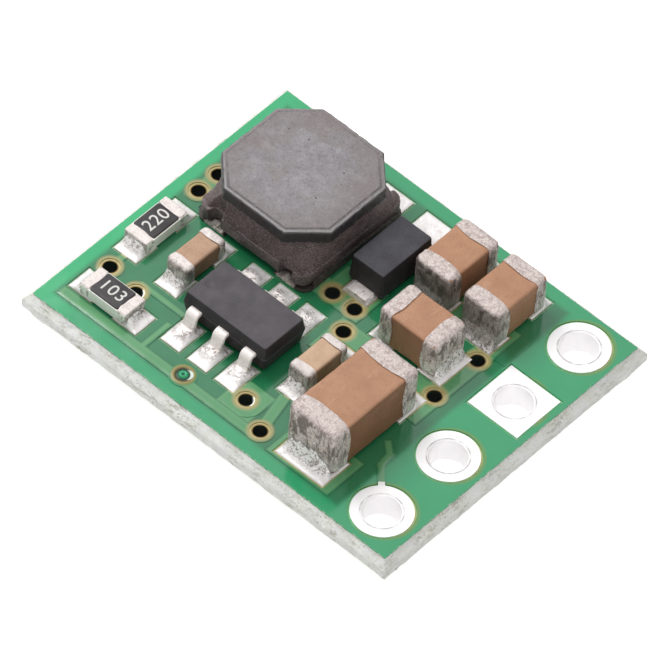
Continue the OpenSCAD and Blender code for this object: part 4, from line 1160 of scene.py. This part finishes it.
def plug_dome():
    """Mask that plugs a via: a dome with a small hole in it, in a dip, inside a low rim that ends in the mask."""
    profile = [(0.0, 0.008), (0.015, 0.008), (0.03, 0.01), (0.04, 0.03), (0.055, 0.048), (0.08, 0.052), (0.105, 0.044),
               (0.13, 0.026), (0.15, 0.01), (0.17, 0.004), (0.2, 0.003), (0.225, 0.01), (0.25, 0.02), (0.29, 0.019),
               (0.32, 0.012), (0.35, 0.003), (VIA_LAND_R, -0.01)]
    fine = np.linspace(0, len(profile) - 1, 3 * len(profile) - 2)
    r, z = (np.interp(fine, np.arange(len(profile)), v) for v in zip(*profile))
    r, z = np.append(r, [VIA_LAND_R / 2, 0]), np.append(z, z[[-1, -1]])
    rings = np.array([at_height(circle(48) * a + PLUGGED_VIA, PAD_Z + MASK_T + b) for a, b in zip(r, z)])
    return rings.reshape(-1, 3), grid_faces(*rings.shape[:2])


piece("laminate_torn_edge", [sawn_edge()], "laminate", sharp=75)
piece("plugged_via_dome", [plug_dome()], "solder_mask", sharp=70, finish=plugged_mask())


# --------------------------------------------------------------- resistors


def glaze(low, high, edge=0.02):
    """Overcoat: a thin slab, rolled over at its rim, with its top a little crowned."""
    size, middle = (high - low)[:2], (low + high)[:2] / 2
    levels = [(low[2], 0)] + [(high[2] - edge + a, b) for a, b in rounding(edge, 4)]
    points, faces = loft([at_height(rectangle(size - 2 * b, 0.05, 4, 12) + middle, z) for z, b in levels], 12)
    crown = 1 - np.clip(np.hypot(*((points[:, :2] - middle) / size * 2).T), 0, 1) ** 2
    points[:, 2] += (points[:, 2] > high[2] - 1e-4) * 0.008 * crown
    return points, faces


def figures(name, words, centre, height, turn, top):
    """Plain printed figures: letters made a thin mesh, then laid flat on a face."""
    curve = bpy.data.curves.new(name, "FONT")
    curve.body = words
    curve.align_x = curve.align_y = "CENTER"
    curve.size = height
    curve.extrude = 0.006
    curve.offset = 0.002
    curve.space_character = 1.08
    holder = bpy.data.objects.new(name + "_line", curve)
    mesh = bpy.data.meshes.new_from_object(holder)
    bpy.data.objects.remove(holder)
    bpy.data.curves.remove(curve)
    lay_flat = Matrix.Translation((*centre, top)) @ Matrix.Rotation(math.radians(turn), 4, "Z")
    mesh.transform(Matrix.Scale(MM, 4) @ lay_flat)
    dress(name, mesh, "alumina", sharp=30, finish=FIGURE)


for name, words, turn in (("front_resistor", "103", 0), ("left_resistor", "220", 90)):
    node = f"{name}_overcoat"
    low, high = span(node)
    piece(f"{name}_glaze", [glaze(low, high)], "overcoat", [node], sharp=50)
    figures(f"{name}_figures", words, ((low + high) / 2)[:2], 0.52, turn, high[2] + 0.004)


# ---------------------------------------------------------------- studio


def look_from(azimuth, elevation, distance, roll=0, shift=(0, 0), target=(0, 0, 0)):
    """Place of a camera or lamp: azimuth 0 looks along +Y; roll turns the view about its axis."""
    a, e, r = (math.radians(v) for v in (azimuth, elevation, roll))
    back = Vector((math.sin(a) * math.cos(e), -math.cos(a) * math.cos(e), math.sin(e)))
    right = Vector((math.cos(a), math.sin(a), 0))
    up = back.cross(right)
    right, up = (math.cos(r) * right + math.sin(r) * up, -math.sin(r) * right + math.cos(r) * up)
    place = Vector(target) + back * distance + right * shift[0] + up * shift[1]
    return Matrix.Translation(place * MM) @ Matrix((right, up, back)).transposed().to_4x4()


def camera():
    """The view on a long lens."""
    data = bpy.data.cameras.new("camera")
    data.lens = 579.35
    data.sensor_width = 36
    data.clip_start, data.clip_end = 0.01, 10
    place = look_from(azimuth=38.056, elevation=50.632, distance=278.8, roll=5.474, shift=(-0.009, -0.389),
                      target=(0, 0, 0.8))
    bpy.context.scene.camera = add("camera", data, place)


def lamp(name, azimuth, elevation, distance, size, power):
    """A square soft lamp aimed at the board, placed like the camera; millimetres and watts."""
    data = bpy.data.lights.new(name, "AREA")
    data.size = size * MM
    data.energy = power
    add(name, data, look_from(azimuth, elevation, distance))


def seen(g):
    """1 where the camera, a reflection or clear glass sees a surface, and 0 for every other ray."""
    path = g.node("LightPath")
    return g.fold("MAXIMUM", [path.outputs[f"Is {ray} Ray"] for ray in ("Camera", "Glossy", "Transmission")])


def world(low, high):
    """White surround whose light grows from `low` at the horizon to `high` overhead, as a soft box above gives."""
    w = bpy.data.worlds.new("studio")
    w.use_nodes = True
    bpy.context.scene.world = w
    g = Graph(w.node_tree)
    back = g.tree.nodes["Background"]
    back.inputs["Color"].default_value = (1, 1, 1, 1)
    height = g.split(g.node("TexCoord").outputs["Generated"])[2]
    sky = g.between(height, 0.42, 1.0, low, high)
    g.feed(back.inputs["Strength"], g.call("Mix", seen(g), None, sky, 1.0))


def floor():
    """Pale floor under the board: it shows white, less the board's soft shadow."""
    half, level = 2000 * MM, -0.02 * MM
    mesh = bpy.data.meshes.new("floor")
    corners = [(sx * half, sy * half, level) for sx, sy in ((-1, -1), (1, -1), (1, 1), (-1, 1))]
    mesh.from_pydata(corners, [], [(0, 1, 2, 3)])
    f = Finish("pale floor", Base_Color=(0.94, 0.94, 0.94, 1), Roughness=0.9, Specular_IOR_Level=0.0)
    glow = f.call("Emission", None, f.times(seen(f), 0.6))
    f.feed(f.tree.nodes["Material Output"].inputs["Surface"], f.call("AddShader", f.shader.outputs[0], glow))
    mesh.materials.append(f.material)
    add("floor", mesh)


# ------------------------------------------------- finishes of the solids

own_finish = {"inductor_winding": WIRE, "via_barrels": via_plating()}
own_finish |= dict.fromkeys(("inductor_terminal_left", "inductor_terminal_right"), terminal_metal())
own_finish |= dict.fromkeys((f"pin_hole_plating_{i}" for i in range(1, 5)), hole_tin())
slots = {part["node"]: part["material_slot"] for part in frame["record"]["subparts"]}
for name, obj in frame["nodes"].items():
    obj.data.materials.clear()
    obj.data.materials.append(own_finish.get(name) or BY_SLOT.get(slots.get(name), BY_SLOT["tinned_copper"]))

camera()
world(low=0.05, high=1.08)
floor()
lamp("key", azimuth=-100, elevation=55, distance=45, size=20, power=0.0103)
lamp("fill", azimuth=44, elevation=14, distance=120, size=60, power=0.028)
bpy.context.scene.view_settings.view_transform = "Standard"
